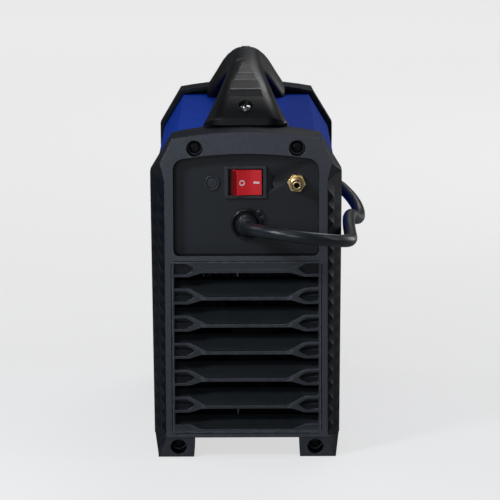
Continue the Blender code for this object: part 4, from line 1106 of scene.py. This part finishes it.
def current_socket(node, x, plus):
    """A quarter-turn current socket: knurled ring, deep bore, brass contact and a moulded + or - sign."""
    at = (x, -PANEL_Y, SOCKET_Z)
    ring = [
        (7.2, 11.6), (12.4, 11.6), (13.0, 11.2), (13.2, 10.4), (13.2, 4.9), (13.8, 4.2), (15.6, 3.7),
        (16.2, 3.2), (16.4, 2.4), (16.4, 0.4), (13.0, 0.4), (13.0, -14.0), (0.0, -14.0), (7.2, -13.0),
    ]
    add(f"{node}_body", turned(ring, at, FRONT, 96), SATIN, nodes=(node,), bevel=0.25, sharp=35.0)
    ribs = []
    for k in range(28):
        rib = box((-0.55, -165.2, 13.0), (0.55, -159.4, 13.65))
        ribs.append(placed(rib, swung((x, 0, SOCKET_Z), 360.0 * k / 28, "Y")))
    add(f"{node}_ribs", merged(*ribs), SATIN, slot="trim_plastic", bevel=0.15)
    contact = [(0, -8.0), (4.0, -8.0), (4.0, -3.7), (7.15, -3.7), (7.15, -13.0), (0, -13.0)]
    add(f"{node}_contact", turned(contact, at, FRONT), BRASS, slot="brass", sharp=30.0)
    z = SOCKET_Z + 22.0
    bars = [box((x - 2.6, -154.35, z - 0.6), (x + 2.6, -153.9, z + 0.6))]
    if plus:
        bars.append(box((x - 0.6, -154.36, z - 2.6), (x + 0.6, -153.9, z + 2.6)))
    add(f"{node}_sign", merged(*bars), INK, slot="trim_plastic", bevel=0.1)


def torch_socket():
    """A central torch connector: plastic flange, brass body with a threaded collar, gas and control pins."""
    x, z = TORCH
    at = (x, -PANEL_Y, z)
    collar = [(12.4, 17), (15.0, 17), (15.6, 16.6)]
    for thread in range(6):
        level = 15.6 - 1.7 * thread
        collar += [(16.3, level), (16.3, level - 0.5), (15.7, level - 0.85), (15.7, level - 1.35)]
    collar += [
        (15.9, 4.4), (17.8, 3.6), (18.6, 3.2), (18.6, 0.4), (15.0, 0.4), (15.0, -12.0), (9.0, -12.0),
        (9.0, -26.0), (0, -26.0), (0, 4), (3.0, 4), (3.0, 12), (5.0, 12), (5.0, 2), (12.4, 2),
    ]
    body = turned(collar, at, FRONT)
    add("torch_socket_body", body, BRASS, nodes=("torch_socket",), bevel=0.15, sharp=35.0)
    pins = []
    for angle in (math.radians(35.0), math.radians(145.0)):
        pin_x, pin_z = x + 8.7 * math.cos(angle), z - 8.7 * math.sin(angle)
        pins.append(cylinder((pin_x, -155.8, pin_z), (pin_x, -164.0, pin_z), 1.3, 1.1, 24))
    add("torch_socket_pins", merged(*pins), ZINC, slot="brass", bevel=0.15)
    insert = turned([(5.05, 2.02), (12.35, 2.02), (12.35, 2.9), (5.05, 2.9)], at, FRONT)
    add("torch_socket_insert", insert, SATIN, slot="trim_plastic", bevel=0.1)


def front_fittings():
    refined("front_panel", PANEL, 0.0)
    refined("display_window", LENS, 0.5, segments=3)
    for k in range(3):
        seven_segment(f"display_digit_{k + 1}", -13.0 + 13.0 * k, 206.0)
    for node, x, body in KNOBS:
        knob(node, x, KNOB_Z, body)
        ticks(f"{node}_scale", x, KNOB_Z)
    for button in BUTTONS:
        push_button(*button)
    for socket in SOCKETS:
        current_socket(*socket)
    torch_socket()


# ---------- cover, wire and inside

COVER_SCREW_PLACE = (68.2, 22.8)


def cover_screws():
    """Small pan-head screws that hold the sheet cover to the base tray."""
    x, z = COVER_SCREW_PLACE
    dome = [(0, 1.7), (1.2, 1.65), (2.4, 1.3), (3.0, 0.7), (3.1, 0.0), (3.1, -0.6), (0, -0.6)]
    heads = []
    for y in (-118.0, -40.0, 40.0, 118.0):
        for side in SIDES:
            slot = box((-4, -0.35, -1.9), (4, 0.35, 1.9))
            slot = placed(slot, Matrix.Translation((side * (x + 5.0), y, z)))
            heads.append(boolean(turned(dome, (side * x, y, z), (side, 0, 0), 28), slot))
    add("cover_screws", merged(*heads), ZINC, slot="zinc_steel", bevel=0.1)


def feed_wire():
    """The wire's free run, from where it leaves the spool to the guide tube and the rolls."""
    centre, guide = Vector(SPOOL), Vector(WIRE_GUIDE)
    away = guide - centre
    angle = math.atan2(away.y, away.x) + math.acos(WIRE_RADIUS / away.length)
    start = centre + Vector((math.cos(angle), math.sin(angle))) * WIRE_RADIUS
    points = [(WIRE_X, *start.lerp(guide, k / 12)) for k in range(13)]
    points.append((WIRE_X, WIRE_END_Y, guide.y))
    add("feed_wire", rod(points, 0.45), COPPER, slot="copper")


def spool_spokes():
    """Raised spokes and a rim bead on the spool's outer flange."""
    x, (y, z) = SPOOL_FLANGE_X, SPOOL
    bead = [(48.6, 0.9), (49.6, 0.9), (49.9, 0.5), (49.9, 0.0), (48.3, 0.0), (48.3, 0.5)]
    parts = [turned(bead, (x, y, z), (1, 0, 0), 96)]
    for k in range(6):
        spoke = box((x - 0.2, -1.1, 14.0), (x + 1.0, 1.1, 48.6))
        parts.append(placed(spoke, swung((0, y, z), 60.0 * k, "X")))
    add("wire_spool_spokes", merged(*parts), SATIN, "spool", slot="trim_plastic", bevel=0.2)


# Nodes that are shown as they are in the CAD model, with rounded edges.
INNER = {
    KNOB: ("door_latch", "tension_knob", "spool_nut", "spool_hub", "wire_spool"),
    BLACK_AND_BORE_SHADE: ("fan_housing", "fan_rotor"),
    SATIN: ("gas_valve", "gas_hose"),
    ZINC: ("hinge_pin_lower", "hinge_pin_upper", "feed_motor", "drive_roll", "pressure_roll"),
    GALVANISED: ("base_tray", "partition"),
    LACQUER: ("transformer", "heatsink"),
    CASTING: ("feed_plate", "pressure_arm"),
    COPPER: ("output_inductor", "welding_wire"),
    BOARD: ("power_board", "control_board"),
    SLEEVE: ("capacitor",),
}

camera()
studio()
mains_cord()
end_frame("rear_frame")
end_frame("front_frame")
frame_screws()
rear_grille()
refined("rear_panel", PANEL, 0.0)
handle()
refined("switch_housing", SATIN_GREY, 0.5, segments=3, sharp=30.0)
power_rocker()
gas_inlet()
blanking_plug()
cable_gland()
front_fittings()
refined("body_cover", BLUE, sharp=35.0)
refined("side_door", BLUE, sharp=35.0)
cover_screws()
feed_wire()
spool_spokes()
for paint, nodes in INNER.items():
    for node in nodes:
        refined(node, paint, 0.25)
